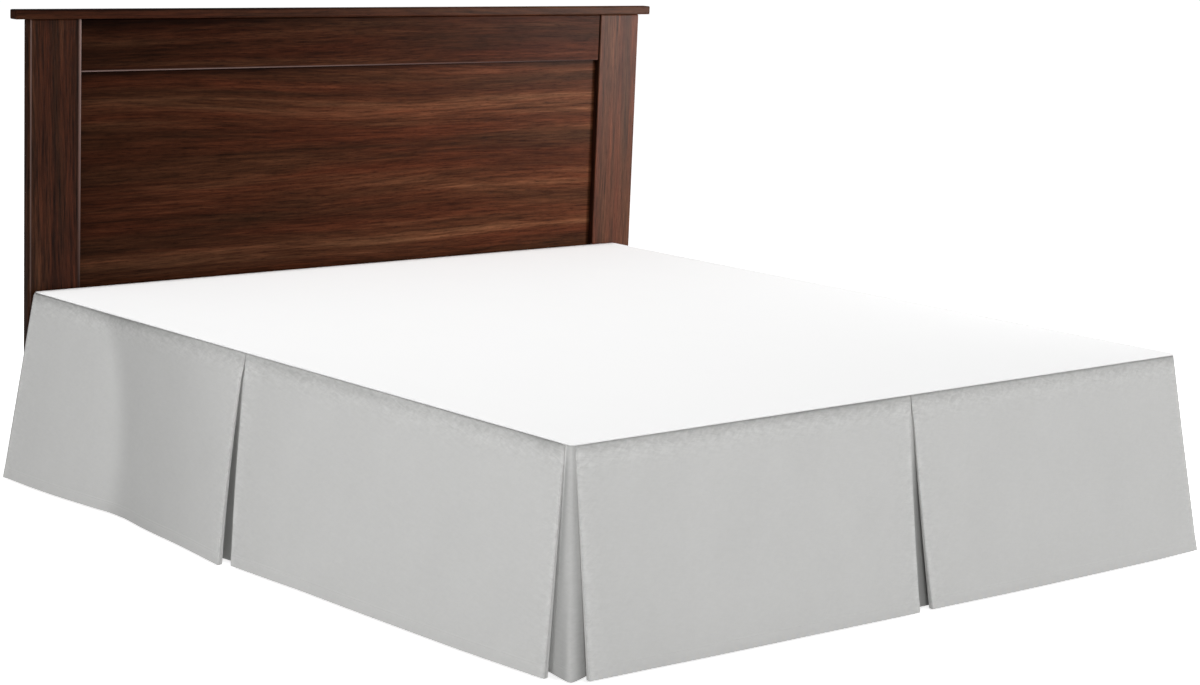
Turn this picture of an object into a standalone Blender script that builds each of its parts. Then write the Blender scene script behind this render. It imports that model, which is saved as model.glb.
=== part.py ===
"""A tailored bed skirt on a plain bed with a wooden headboard.

Metres, +Z up. The origin is on the floor under the middle of the whole object. The foot of the bed
faces -Y and the headboard stands at +Y.

The skirt is a sheet laid on the foundation, the deck, with a drop sewn along three of its edges.
Each drop is one strip of cloth with an inverted box pleat folded in near its middle. At the two foot
corners the ends of the drops are turned back, and an underlay fills the split behind them.
"""

import math

import bmesh
import bpy
import numpy as np

# ---- The bed's size, and the height of the skirt -------------------------------------------------
MATTRESS_WIDTH = 1.930
MATTRESS_LENGTH = 2.030
DROP_HEIGHT = 0.457            # from the top of the deck to the hem
HEM_ABOVE_FLOOR = 0.008
FIT_GAP = 0.0003               # between pieces that lie against each other

# ---- Cloth -----------------------------------------------------------------------------------------
CLOTH = 0.0010                 # one layer
HEM_CLOTH = 0.0020             # the turned-up hem
HEM_DEPTH = 0.025
HEM_STEP = 0.003               # the height over which one layer becomes two
DECK_RIM = 0.004               # how far the deck turns down over the foundation's edge, to the seam
DECK_RIM_RADIUS = 0.003
DECK_CORNER_RADIUS = 0.012

# ---- Pleats: how the layers lie one behind the other -----------------------------------------------
LAYER_AT_SEAM = 0.0016         # from the middle of one layer to the middle of the next
LAYER_AT_HEM = 0.0150
PLEAT_RETURN = 0.085           # how far a pleat's edge is turned back behind its panel
CORNER_RETURN = 0.060
UNDERLAY_REACH = 0.085         # how far an underlay runs from the corner behind each drop
FOLD_STEPS = 4                 # flat faces round a fold
COLUMN_STEP = 0.075            # spacing of the points along a panel

# Heights of the rows of points, as shares of the drop from the seam (0) to the hem (1); the rows
# of the hem follow them.
LEVELS = (0.0, 0.03, 0.09, 0.20, 0.34, 0.49, 0.64, 0.80)

# ---- How the panels hang ---------------------------------------------------------------------------
# A row of a panel: its place along the edge at the seam, its place at the hem, and how far the hem
# stands out from the edge. Places are measured along the edge from where the drop starts.
AT_SEAM, AT_HEM, OUT = 0, 1, 2

# The left drop starts at the head. Its head panel has a soft valley from top to hem, and its edge
# at the pleat stands out further than the next panel's.
LEFT_HEAD_PANEL = (
    (-0.0080, 0.0200, 0.101),
    (0.2000, 0.2100, 0.095),
    (0.3600, 0.4200, 0.078),
    (0.4200, 0.5300, 0.073),
    (0.5200, 0.6300, 0.083),
    (0.7100, 0.7900, 0.094),
    (0.9180, 1.0000, 0.118),
)
LEFT_FOOT_PANEL = (
    (0.9280, 1.0200, 0.097),
    (1.2000, 1.2200, 0.089),
    (1.6200, 1.6200, 0.077),
    (1.8600, 1.8700, 0.067),
    (2.0100, 2.0380, 0.056),
)
# The foot drop starts at the left corner.
FOOT_LEFT_PANEL = (
    (0.0110, 0.0080, 0.072),
    (0.2900, 0.2900, 0.086),
    (0.5700, 0.5650, 0.096),
    (0.9720, 0.9250, 0.110),
)
FOOT_RIGHT_PANEL = (
    (0.9810, 0.9680, 0.108),
    (1.3500, 1.3450, 0.119),
    (1.7000, 1.6950, 0.123),
    (1.9180, 1.9080, 0.121),
)
# The right drop starts at the right foot corner.
RIGHT_FOOT_PANEL = (
    (0.0120, -0.0100, 0.052),
    (0.2400, 0.2300, 0.068),
    (0.6000, 0.5900, 0.084),
    (1.0142, 0.9900, 0.104),
)
RIGHT_HEAD_PANEL = (
    (1.0158, 1.0180, 0.092),
    (1.3200, 1.3100, 0.082),
    (1.6400, 1.6300, 0.088),
    (2.0300, 2.0260, 0.108),
)
# How far the crease of a corner underlay would stand out at the hem, past the side's edge and past
# the foot's edge, if it lay level with the panels' fronts.
LEFT_CREASE = (0.0600, 0.0885)
RIGHT_CREASE = (0.0520, 0.1180)
# Where an underlay's columns lie between its crease (0) and its far edges (1), and where its two
# faces are cut across so that the crease is a soft one.
UNDERLAY_COLUMNS = (1.0, 0.55, 0.28, 0.12)
CREASE_CUT = 0.06

# ---- Foundation and frame --------------------------------------------------------------------------
FOUNDATION_INSET = 0.010       # inside the deck's edge, on each side
FOUNDATION_HEIGHT = 0.215
FOUNDATION_CORNER = 0.030
FOUNDATION_EDGE = 0.008
RAIL_THICKNESS = 0.025
RAIL_HEIGHT = 0.090
RAIL_INSET = 0.035             # from the foundation's side to the rail's outer face
LEG_WIDTH = 0.060
LEG_INSET = 0.080              # from a rail's end to the middle of the nearest leg

# ---- Headboard -------------------------------------------------------------------------------------
HEADBOARD_WIDTH = 2.020        # across the stiles
HEADBOARD_SHIFT = 0.033        # it stands this far to the right of the bed's middle
HEADBOARD_GAP = 0.015          # from the deck's head edge to the stiles' front
CAP_UNDERSIDE = 1.137
CAP_WIDTH = 2.098
CAP_HEIGHT = 0.024
CAP_OVERHANG = 0.006           # in front of the stiles
STILE_WIDTH = 0.148
STILE_DEPTH = 0.024
TOP_RAIL_HEIGHT = 0.132
TOP_RAIL_SETBACK = 0.003       # behind the stiles' front
TOP_RAIL_DEPTH = 0.016
PANEL_SETBACK = 0.014
PANEL_DEPTH = 0.008
BOTTOM_RAIL_TOP = 0.430
BOTTOM_RAIL_HEIGHT = 0.100
BOARD_EDGE = 0.002             # the frame boards' eased edges
HEADBOARD_EDGE = 0.003         # and the headboard's

# ---- Worked out from those -------------------------------------------------------------------------
DECK_TOP = HEM_ABOVE_FLOOR + DROP_HEIGHT
SEAM_Z = DECK_TOP - DECK_RIM - FIT_GAP
FOOT_REACH = max(row[OUT] for row in FOOT_LEFT_PANEL + FOOT_RIGHT_PANEL) + HEM_CLOTH / 2
OBJECT_LENGTH = FOOT_REACH + MATTRESS_LENGTH + HEADBOARD_GAP + STILE_DEPTH
SIDE_X = MATTRESS_WIDTH / 2
FOOT_Y = FOOT_REACH - OBJECT_LENGTH / 2
HEAD_Y = FOOT_Y + MATTRESS_LENGTH
HEADBOARD_Y = HEAD_Y + HEADBOARD_GAP
FOUNDATION_TOP = DECK_TOP - CLOTH - FIT_GAP
RAIL_TOP = FOUNDATION_TOP - FOUNDATION_HEIGHT - FIT_GAP
RAIL_X = SIDE_X - FOUNDATION_INSET - RAIL_INSET


# ---- Materials and placing -------------------------------------------------------------------------
def make_material(name, color, roughness):
    material = bpy.data.materials.new(name)
    material.use_nodes = True
    shader = material.node_tree.nodes["Principled BSDF"]
    shader.inputs["Base Color"].default_value = (*color, 1.0)
    shader.inputs["Roughness"].default_value = roughness
    shader.inputs["Metallic"].default_value = 0.0
    return material


def new_object(name, mesh, material):
    thing = bpy.data.objects.new(name, mesh)
    mesh.materials.append(material)
    bpy.context.collection.objects.link(thing)
    return thing


def board(name, width, depth, height, base, edge, material):
    """A board with eased edges. base is the middle of its underside."""
    mesh = bpy.data.meshes.new(name)
    shape = bmesh.new()
    bmesh.ops.create_cube(shape, size=1.0)
    bmesh.ops.scale(shape, vec=(width, depth, height), verts=shape.verts)
    bmesh.ops.translate(shape, vec=(0.0, 0.0, height / 2), verts=shape.verts)
    shape.to_mesh(mesh)
    shape.free()
    thing = new_object(name, mesh, material)
    thing.location = base
    if edge:
        easing = thing.modifiers.new("eased edges", "BEVEL")
        easing.width = edge
        easing.segments = 2
    return thing


# ---- Cloth strips ----------------------------------------------------------------------------------
def smooth_out(panel, at_hem):
    """How far a panel's hem stands out at a place along it: a smooth curve through its rows."""
    places = np.array([row[AT_HEM] for row in panel])
    outs = np.array([row[OUT] for row in panel])
    slopes = np.gradient(outs, places)
    i = int(np.clip(np.searchsorted(places, at_hem) - 1, 0, len(places) - 2))
    span = places[i + 1] - places[i]
    t = (at_hem - places[i]) / span
    return float(
        outs[i] * (2 * t**3 - 3 * t**2 + 1)
        + slopes[i] * span * (t**3 - 2 * t**2 + t)
        + outs[i + 1] * (3 * t**2 - 2 * t**3)
        + slopes[i + 1] * span * (t**3 - t**2)
    )


def column(at_seam, at_hem, out, layer=0.0, tuck=0.0):
    """One line of points from seam to hem.

    layer counts the layers that lie in front of it, and tuck moves it along the edge by that many
    layer spacings, which is what rounds a fold.
    """
    return {"at_seam": at_seam, "at_hem": at_hem, "out": out, "layer": layer, "tuck": tuck}


def panel_columns(panel):
    """Columns along a panel's front, about COLUMN_STEP apart."""
    places = [row[AT_HEM] for row in panel]
    seams = [row[AT_SEAM] for row in panel]
    steps = max(2, round((places[-1] - places[0]) / COLUMN_STEP))
    return [
        column(float(np.interp(at, places, seams)), at, smooth_out(panel, at))
        for at in np.linspace(places[0], places[-1], steps + 1)
    ]


def fold_columns(at_seam, at_hem, out, heading, first_layer, last_layer):
    """Half a turn from one layer to the next, round an edge at the given place.

    heading is +1 where the cloth reaches the fold along the edge, and -1 where it comes back.
    """
    columns = []
    for angle in np.linspace(0.0, math.pi, FOLD_STEPS + 1):
        layer = first_layer + (last_layer - first_layer) * (1 - math.cos(angle)) / 2
        columns.append(column(at_seam, at_hem, out, layer, -heading * (1 - math.sin(angle)) / 2))
    return columns


def edge_of(panel, last):
    """A panel's first or last row, as the place and reach of its edge."""
    row = panel[-1] if last else panel[0]
    return row[AT_SEAM], row[AT_HEM], row[OUT]


def turned_back(panel, last, depth):
    """The place and reach of the inner end of a return behind a panel's first or last edge."""
    at_seam, at_hem, _ = edge_of(panel, last)
    step = -depth if last else depth
    return at_seam + step, at_hem + step, smooth_out(panel, at_hem + step)


def between(one, other, share, layer):
    """A plain column part of the way between two places."""
    seam, hem, out = (a + (b - a) * share for a, b in zip(one, other))
    return column(seam, hem, out, layer)


def corner_return(panel, last):
    """A drop's end at a corner: a fold, and the cloth turned back behind the panel."""
    heading = 1 if last else -1
    inner = turned_back(panel, last, CORNER_RETURN)
    fold = fold_columns(*edge_of(panel, last), heading, 0, 1)
    back = [between(edge_of(panel, last), inner, share, 1) for share in (0.5, 1.0)]
    return fold + back if last else (fold + back)[::-1]


def box_pleat(before, after):
    """An inverted box pleat between two panels: return, underlay and return, joined by folds."""
    edge_before, edge_after = edge_of(before, True), edge_of(after, False)
    inner_before = turned_back(before, True, PLEAT_RETURN)
    inner_after = turned_back(after, False, PLEAT_RETURN)
    columns = fold_columns(*edge_before, 1, 0, 1)
    columns.append(between(edge_before, inner_before, 0.5, 1))
    columns += fold_columns(*inner_before, -1, 1, 2)
    columns += [between(inner_before, inner_after, share, 2) for share in (0.3, 0.5, 0.7)]
    columns += fold_columns(*inner_after, 1, 2, 1)
    columns.append(between(inner_after, edge_after, 0.5, 1))
    columns += fold_columns(*edge_after, -1, 1, 0)
    return columns


def drop_columns(first, second, starts_at_corner, ends_at_corner):
    """All the columns of a drop: two panels, the pleat between them, and its corner returns."""
    columns = corner_return(first, False) if starts_at_corner else []
    inner = slice(1 if starts_at_corner else 0, -1)
    columns += panel_columns(first)[inner]
    columns += box_pleat(first, second)
    inner = slice(1, -1 if ends_at_corner else None)
    columns += panel_columns(second)[inner]
    if ends_at_corner:
        columns += corner_return(second, True)
    return columns


def levels():
    """The rows' shares of the drop, and whether each belongs to the hem."""
    hem_start = 1 - HEM_DEPTH / (SEAM_Z - HEM_ABOVE_FLOOR)
    hem_above = hem_start - HEM_STEP / (SEAM_Z - HEM_ABOVE_FLOOR)
    rows = [(share, False) for share in LEVELS + (hem_above,)]
    return rows + [(hem_start, True), (1.0, True)]


def layer_spacing(share):
    return LAYER_AT_SEAM + (LAYER_AT_HEM - LAYER_AT_SEAM) * share


def level_z(share):
    return SEAM_Z + (HEM_ABOVE_FLOOR - SEAM_Z) * share


def cloth_sheet(name, grid, material):
    """A sheet through a grid of points, row by row from seam to hem, with a thicker hem."""
    mesh = bpy.data.meshes.new(name)
    shape = bmesh.new()
    rows = [[shape.verts.new(point) for point in row] for row in grid]
    for upper, lower in zip(rows, rows[1:]):
        for i in range(len(upper) - 1):
            shape.faces.new((upper[i], lower[i], lower[i + 1], upper[i + 1]))
    shape.verts.index_update()
    hem_points = [
        vertex.index for row, (_, in_hem) in zip(rows, levels()) for vertex in row if in_hem
    ]
    shape.to_mesh(mesh)
    shape.free()
    mesh.shade_smooth()
    thing = new_object(name, mesh, material)
    thing.vertex_groups.new(name="hem").add(hem_points, 1.0, "REPLACE")
    body = thing.modifiers.new("cloth", "SOLIDIFY")
    body.offset = 0.0
    body.thickness = HEM_CLOTH
    body.use_even_offset = True
    body.vertex_group = "hem"
    body.thickness_vertex_group = CLOTH / HEM_CLOTH
    return thing


def make_drop(name, columns, start, along, outward, material):
    """Hang a drop's columns from an edge that starts at start and runs along."""
    start, along, outward = (np.array(v, float) for v in (start, along, outward))
    grid = []
    for share, _ in levels():
        row = []
        for c in columns:
            spacing = layer_spacing(share)
            run = c["at_seam"] + (c["at_hem"] - c["at_seam"]) * share + c["tuck"] * spacing
            out = c["out"] * share - c["layer"] * spacing - CLOTH / 2
            x, y = start + along * run + outward * out
            row.append((x, y, level_z(share)))
        grid.append(row)
    return cloth_sheet(name, grid, material)


def make_underlay(name, side, crease, side_out, foot_out, material):
    """The cloth behind a corner's split, creased round the corner. side is -1 left and +1 right.

    side_out and foot_out are how far its far edges stand out behind the side and the foot panel.
    """
    grid = []
    for share, _ in levels():
        behind = 2 * layer_spacing(share) + CLOTH / 2
        # Places are pairs: how far out past the side's edge, and past the foot's edge.
        corner = np.array(crease) * share - behind
        side_end = np.array((side_out * share - behind, -UNDERLAY_REACH))
        foot_end = np.array((-UNDERLAY_REACH, foot_out * share - behind))
        along_side = [corner + (side_end - corner) * way for way in UNDERLAY_COLUMNS]
        along_foot = [corner + (foot_end - corner) * way for way in UNDERLAY_COLUMNS]
        soft_corner = corner + (side_end + foot_end - 2 * corner) * CREASE_CUT / 2
        places = along_side + [soft_corner] + along_foot[::-1]
        if side > 0:
            places.reverse()
        grid.append([(side * (SIDE_X + x), FOOT_Y - y, level_z(share)) for x, y in places])
    return cloth_sheet(name, grid, material)


def make_deck(material):
    """The sheet on the foundation: its side and foot edges turn down to the seam."""
    mesh = bpy.data.meshes.new("deck")
    shape = bmesh.new()
    bmesh.ops.create_cube(shape, size=1.0)
    bmesh.ops.scale(shape, vec=(MATTRESS_WIDTH, MATTRESS_LENGTH, DECK_RIM), verts=shape.verts)
    head = MATTRESS_LENGTH / 2
    low = -DECK_RIM / 2

    def lies(edge, axis, value):
        return all(abs(vertex.co[axis] - value) < 1e-6 for vertex in edge.verts)

    corners = [e for e in shape.edges if not lies(e, 2, low) and not lies(e, 2, -low) and lies(e, 1, -head)]
    bmesh.ops.bevel(
        shape, geom=corners, offset=DECK_CORNER_RADIUS, segments=4, profile=0.5, affect="EDGES"
    )
    top = [e for e in shape.edges if lies(e, 2, -low) and not lies(e, 1, head)]
    bmesh.ops.bevel(shape, geom=top, offset=DECK_RIM_RADIUS, segments=3, profile=0.5, affect="EDGES")
    open_faces = [
        f
        for f in shape.faces
        if all(abs(v.co.z - low) < 1e-6 for v in f.verts)
        or all(abs(v.co.y - head) < 1e-6 for v in f.verts)
    ]
    bmesh.ops.delete(shape, geom=open_faces, context="FACES")
    shape.to_mesh(mesh)
    shape.free()
    thing = new_object("deck", mesh, material)
    thing.location = (0.0, (FOOT_Y + HEAD_Y) / 2, DECK_TOP - DECK_RIM / 2)
    body = thing.modifiers.new("cloth", "SOLIDIFY")
    body.thickness = CLOTH
    body.offset = -1.0
    body.use_even_offset = True
    return thing


def make_skirt():
    deck_cloth = make_material("deck cloth", (0.93, 0.93, 0.93), 0.9)
    drop_cloth = make_material("drop cloth", (0.56, 0.56, 0.55), 0.85)
    underlay_cloth = make_material("underlay cloth", (0.58, 0.58, 0.57), 0.85)

    make_deck(deck_cloth)
    left = drop_columns(LEFT_HEAD_PANEL, LEFT_FOOT_PANEL, False, True)
    make_drop("drop_side_left", left, (-SIDE_X, HEAD_Y), (0, -1), (-1, 0), drop_cloth)
    foot = drop_columns(FOOT_LEFT_PANEL, FOOT_RIGHT_PANEL, True, True)
    make_drop("drop_foot", foot, (-SIDE_X, FOOT_Y), (1, 0), (0, -1), drop_cloth)
    right = drop_columns(RIGHT_FOOT_PANEL, RIGHT_HEAD_PANEL, True, False)
    make_drop("drop_side_right", right, (SIDE_X, FOOT_Y), (0, 1), (1, 0), drop_cloth)

    ends = (
        ("left", -1, LEFT_CREASE, (LEFT_FOOT_PANEL, True), (FOOT_LEFT_PANEL, False)),
        ("right", 1, RIGHT_CREASE, (RIGHT_FOOT_PANEL, False), (FOOT_RIGHT_PANEL, True)),
    )
    for name, side, crease, side_end, foot_end in ends:
        side_out = turned_back(*side_end, UNDERLAY_REACH)[OUT]
        foot_out = turned_back(*foot_end, UNDERLAY_REACH)[OUT]
        make_underlay(f"corner_underlay_{name}", side, crease, side_out, foot_out, underlay_cloth)


# ---- Bed -------------------------------------------------------------------------------------------
def make_foundation():
    ticking = make_material("foundation ticking", (0.80, 0.79, 0.76), 0.9)
    mesh = bpy.data.meshes.new("foundation")
    shape = bmesh.new()
    width = MATTRESS_WIDTH - 2 * FOUNDATION_INSET
    length = MATTRESS_LENGTH - 2 * FOUNDATION_INSET
    bmesh.ops.create_cube(shape, size=1.0)
    bmesh.ops.scale(shape, vec=(width, length, FOUNDATION_HEIGHT), verts=shape.verts)
    upright = [e for e in shape.edges if abs(e.verts[0].co.z - e.verts[1].co.z) > 0.1]
    bmesh.ops.bevel(
        shape, geom=upright, offset=FOUNDATION_CORNER, segments=4, profile=0.5, affect="EDGES"
    )
    rims = [e for e in shape.edges if abs(e.verts[0].co.z - e.verts[1].co.z) < 0.1]
    bmesh.ops.bevel(
        shape, geom=rims, offset=FOUNDATION_EDGE, segments=2, profile=0.5, affect="EDGES"
    )
    shape.to_mesh(mesh)
    shape.free()
    thing = new_object("foundation", mesh, ticking)
    thing.location = (0.0, (FOOT_Y + HEAD_Y) / 2, FOUNDATION_TOP - FOUNDATION_HEIGHT / 2)


def make_frame():
    rail_wood = make_material("frame wood", (0.42, 0.30, 0.20), 0.6)
    rail_base = RAIL_TOP - RAIL_HEIGHT
    rail_start = FOOT_Y + FOUNDATION_INSET + RAIL_INSET
    rail_end = HEADBOARD_Y - FIT_GAP
    length = rail_end - rail_start
    middle_y = (rail_start + rail_end) / 2
    rail_x = RAIL_X - RAIL_THICKNESS / 2
    for name, side in (("left", -1), ("right", 1)):
        base = (side * rail_x, middle_y, rail_base)
        board(f"side_rail_{name}", RAIL_THICKNESS, length, RAIL_HEIGHT, base, BOARD_EDGE, rail_wood)

    inner_width = 2 * (RAIL_X - RAIL_THICKNESS - FIT_GAP)
    leg_rows = (rail_start + LEG_INSET, middle_y, rail_end - LEG_INSET)
    leg_height = rail_base - FIT_GAP
    for row_name, y in zip(("foot", "middle", "head"), leg_rows):
        board(
            f"cross_rail_{row_name}", inner_width, RAIL_THICKNESS, RAIL_HEIGHT,
            (0.0, y, rail_base), BOARD_EDGE, rail_wood,
        )
        for side_name, x in (("left", -rail_x), ("centre", 0.0), ("right", rail_x)):
            board(
                f"leg_{row_name}_{side_name}", LEG_WIDTH, LEG_WIDTH, leg_height,
                (x, y, 0.0), BOARD_EDGE, rail_wood,
            )


def make_headboard():
    walnut = make_material("dark walnut", (0.10, 0.045, 0.030), 0.45)
    back = HEADBOARD_Y + STILE_DEPTH
    cap_depth = STILE_DEPTH + CAP_OVERHANG
    board(
        "headboard_cap", CAP_WIDTH, cap_depth, CAP_HEIGHT,
        (HEADBOARD_SHIFT, back - cap_depth / 2, CAP_UNDERSIDE), HEADBOARD_EDGE, walnut,
    )
    stile_x = (HEADBOARD_WIDTH - STILE_WIDTH) / 2
    for name, side in (("left", -1), ("right", 1)):
        base = (HEADBOARD_SHIFT + side * stile_x, back - STILE_DEPTH / 2, 0.0)
        height = CAP_UNDERSIDE - FIT_GAP
        board(
            f"headboard_stile_{name}", STILE_WIDTH, STILE_DEPTH, height, base, HEADBOARD_EDGE, walnut
        )

    inner = HEADBOARD_WIDTH - 2 * STILE_WIDTH - 2 * FIT_GAP
    rail_top = CAP_UNDERSIDE - FIT_GAP
    rail_base = CAP_UNDERSIDE - TOP_RAIL_HEIGHT
    rail_y = HEADBOARD_Y + TOP_RAIL_SETBACK + TOP_RAIL_DEPTH / 2
    board(
        "headboard_top_rail", inner, TOP_RAIL_DEPTH, rail_top - rail_base,
        (HEADBOARD_SHIFT, rail_y, rail_base), HEADBOARD_EDGE, walnut,
    )
    board(
        "headboard_bottom_rail", inner, TOP_RAIL_DEPTH, BOTTOM_RAIL_HEIGHT,
        (HEADBOARD_SHIFT, rail_y, BOTTOM_RAIL_TOP - BOTTOM_RAIL_HEIGHT), HEADBOARD_EDGE, walnut,
    )
    panel_base = BOTTOM_RAIL_TOP + FIT_GAP
    panel_y = HEADBOARD_Y + PANEL_SETBACK + PANEL_DEPTH / 2
    board(
        "headboard_panel", inner, PANEL_DEPTH, rail_base - FIT_GAP - panel_base,
        (HEADBOARD_SHIFT, panel_y, panel_base), 0.0, walnut,
    )


def main():
    for thing in list(bpy.data.objects):
        bpy.data.objects.remove(thing, do_unlink=True)
    make_skirt()
    make_foundation()
    make_frame()
    make_headboard()


main()
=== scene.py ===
# %% [markdown]
# # Dressing a tailored bed skirt
#
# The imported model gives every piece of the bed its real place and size. This lesson adds what such a
# model leaves out: cloth that is thin and a little uneven, hems with their stitches, a brushed nap, and
# walnut with grain. Everything is in metres, with +Z up, the foot of the bed towards -Y and the
# headboard at +Y. The box of the model is kept, so that the dressed one can be compared with it.

import math

import bpy
import numpy as np
from mathutils import Matrix, Vector


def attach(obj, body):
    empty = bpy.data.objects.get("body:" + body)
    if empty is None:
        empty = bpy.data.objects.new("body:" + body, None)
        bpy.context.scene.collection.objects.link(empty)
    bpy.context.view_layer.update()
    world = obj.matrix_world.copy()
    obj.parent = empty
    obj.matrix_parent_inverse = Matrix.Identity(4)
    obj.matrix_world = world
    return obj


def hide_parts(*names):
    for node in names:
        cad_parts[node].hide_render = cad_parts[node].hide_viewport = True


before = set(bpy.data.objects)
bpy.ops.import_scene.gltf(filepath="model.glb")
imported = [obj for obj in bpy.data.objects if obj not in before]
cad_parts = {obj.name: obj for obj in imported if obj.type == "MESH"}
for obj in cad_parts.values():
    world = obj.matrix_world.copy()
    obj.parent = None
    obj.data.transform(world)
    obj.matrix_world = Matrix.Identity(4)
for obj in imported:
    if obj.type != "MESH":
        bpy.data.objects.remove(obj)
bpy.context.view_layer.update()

# %% [markdown]
# ## Small helpers
#
# Two things come up all the time. An object has to be linked to the scene, and a shader is fed by
# nodes, whose inputs take either a plain value or another node's output.

# %% Helpers for objects and nodes
def add_object(name, data):
    """A new object in the scene."""
    thing = bpy.data.objects.new(name, data)
    bpy.context.collection.objects.link(thing)
    return thing


def add_mesh(name, points, faces):
    """A new object with a mesh of these points and faces."""
    mesh = bpy.data.meshes.new(name)
    mesh.from_pydata(points, [], faces)
    return add_object(name, mesh)


def plug(tree, socket, value):
    """Link an output to an input, or set the input to a number, a vector or a colour."""
    if isinstance(value, bpy.types.NodeSocket):
        tree.links.new(value, socket)
    else:
        socket.default_value = value


def node(tree, kind, **settings):
    """A new node. Each setting is one of its properties, or else it goes to the input of that name."""
    made = tree.nodes.new(kind)
    for key, value in settings.items():
        if hasattr(made, key):
            setattr(made, key, value)
        else:
            plug(tree, made.inputs[key.replace("_", " ")], value)
    return made


def math_node(tree, operation, *values, kind="ShaderNodeMath"):
    """A Math node on outputs or numbers, in the order of its inputs; returns its output."""
    made = node(tree, kind, operation=operation)
    for socket, value in zip(made.inputs, values):
        plug(tree, socket, value)
    return made.outputs[0]


def new_material(name, **settings):
    """A Principled material. Settings are inputs of its shader, by their names."""
    material = bpy.data.materials.new(name)
    material.use_nodes = True
    tree = material.node_tree
    shader = tree.nodes["Principled BSDF"]
    for key, value in settings.items():
        plug(tree, shader.inputs[key.replace("_", " ")], value)
    return material, tree, shader


# %% [markdown]
# ## The camera
#
# A product picture like this one is taken from chest height, from beyond the left foot corner, with a
# long lens. The place and the angles below make the corners of the deck, the hem and the headboard
# fall where they do in such a picture. A camera looks along its own -Z, which starts out pointing at
# the floor. Read from right to left, the rotations roll it about its own axis, tip it up and turn it.

# %% Place the camera
CAMERA_PLACE = (-4.2616, -4.6941, 1.5626)
CAMERA_TURN = math.radians(-42.070)     # from looking along +Y, towards +X
CAMERA_DIP = math.radians(10.213)       # below the horizon
CAMERA_ROLL = math.radians(2.377)
LENS = 79.32                            # mm, on a sensor 36 mm wide

camera = add_object("camera", bpy.data.cameras.new("camera"))
camera.data.lens = LENS
camera.data.sensor_width = 36.0
camera.data.clip_end = 400.0
camera.matrix_world = (
    Matrix.Translation(CAMERA_PLACE)
    @ Matrix.Rotation(CAMERA_TURN, 4, "Z")
    @ Matrix.Rotation(math.pi / 2 - CAMERA_DIP, 4, "X")
    @ Matrix.Rotation(CAMERA_ROLL, 4, "Z")
)
bpy.context.scene.camera = camera
print("camera looks along", [round(v, 3) for v in camera.matrix_world.to_3x3() @ Vector((0, 0, -1))])

# %% [markdown]
# ## Floor and light
#
# Pale cloth under an even sky alone looks flat, so the sky is weak here and broad lamps do most of the
# work. One on the left lights the side drop, one far off on the right evens out the foot, a key between
# them rounds the folds, and one overhead keeps the white of the deck white. A small lamp over the bed
# lights the right half of the headboard. Product pictures stand on pure white, so the floor glows, but
# only for the camera: it lights no cloth.

# %% Lay the floor and hang the lamps
FLOOR_REACH = 150.0
SKY_LIGHT = 0.22
FLOOR_GLOW = 0.86


def area_lamp(name, place, aim, size, power):
    """A square lamp of soft white light, turned to face a point."""
    lamp = add_object(name, bpy.data.lights.new(name, "AREA"))
    lamp.data.size = size
    lamp.data.energy = power
    turn = (Vector(aim) - Vector(place)).to_track_quat("-Z", "Y").to_matrix().to_4x4()
    lamp.matrix_world = Matrix.Translation(place) @ turn


sky = bpy.data.worlds.new("even sky")
sky.use_nodes = True
background = sky.node_tree.nodes["Background"].inputs
background["Color"].default_value = (1.0, 1.0, 1.0, 1.0)
background["Strength"].default_value = SKY_LIGHT
bpy.context.scene.world = sky
bpy.context.scene.view_settings.view_transform = "Standard"

# where each one hangs and where it aims, its size in metres and its power in watts
area_lamp("key lamp", (-2.6, -5.4, 2.4), (-0.6, -0.4, 0.3), 1.5, 75.0)
area_lamp("left lamp", (-5.0, -0.8, 1.6), (-1.0, 0.0, 0.3), 1.6, 54.5)
area_lamp("right lamp", (7.9, -4.8, 1.4), (0.5, -0.9, 0.4), 2.0, 340.0)
area_lamp("top lamp", (-0.6, -0.1, 4.6), (-0.2, 0.0, 0.4), 3.0, 146.0)
area_lamp("headboard lamp", (2.5, -0.7, 1.1), (0.9, 1.1, 0.85), 0.8, 26.0)

corners = [(x * FLOOR_REACH, y * FLOOR_REACH, 0.0) for x, y in ((-1, -1), (1, -1), (1, 1), (-1, 1))]
floor = add_mesh("floor", corners, [(0, 1, 2, 3)])
paint, tree, shader = new_material(
    "pale floor", Base_Color=(0.90, 0.90, 0.90, 1.0), Roughness=0.9, Emission_Color=(1.0, 1.0, 1.0, 1.0)
)
seen = node(tree, "ShaderNodeLightPath").outputs["Is Camera Ray"]
plug(tree, shader.inputs["Emission Strength"], math_node(tree, "MULTIPLY", seen, FLOOR_GLOW))
floor.data.materials.append(paint)

# %% [markdown]
# ## A surface from two parameters
#
# Each new piece below is a function of two parameters, worked out with numpy for a whole grid of
# points at once. This helper turns such a grid into a mesh. It also writes a UV map in metres, from
# how far the points lie apart along and across the sheet, so that a weave keeps its scale on every
# fold. The helper for the thickness uses Blender's Solidify modifier, which can give a hem its second
# layer through a vertex group.

# %% Grid to mesh
def lengths(points, axis):
    """How far each point of a grid lies along one axis: the running sum of the steps between points."""
    steps = np.linalg.norm(np.diff(points, axis=axis), axis=-1)
    start = np.zeros_like(np.take(steps, [0], axis=axis))
    return np.concatenate([start, np.cumsum(steps, axis=axis)], axis=axis)


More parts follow.
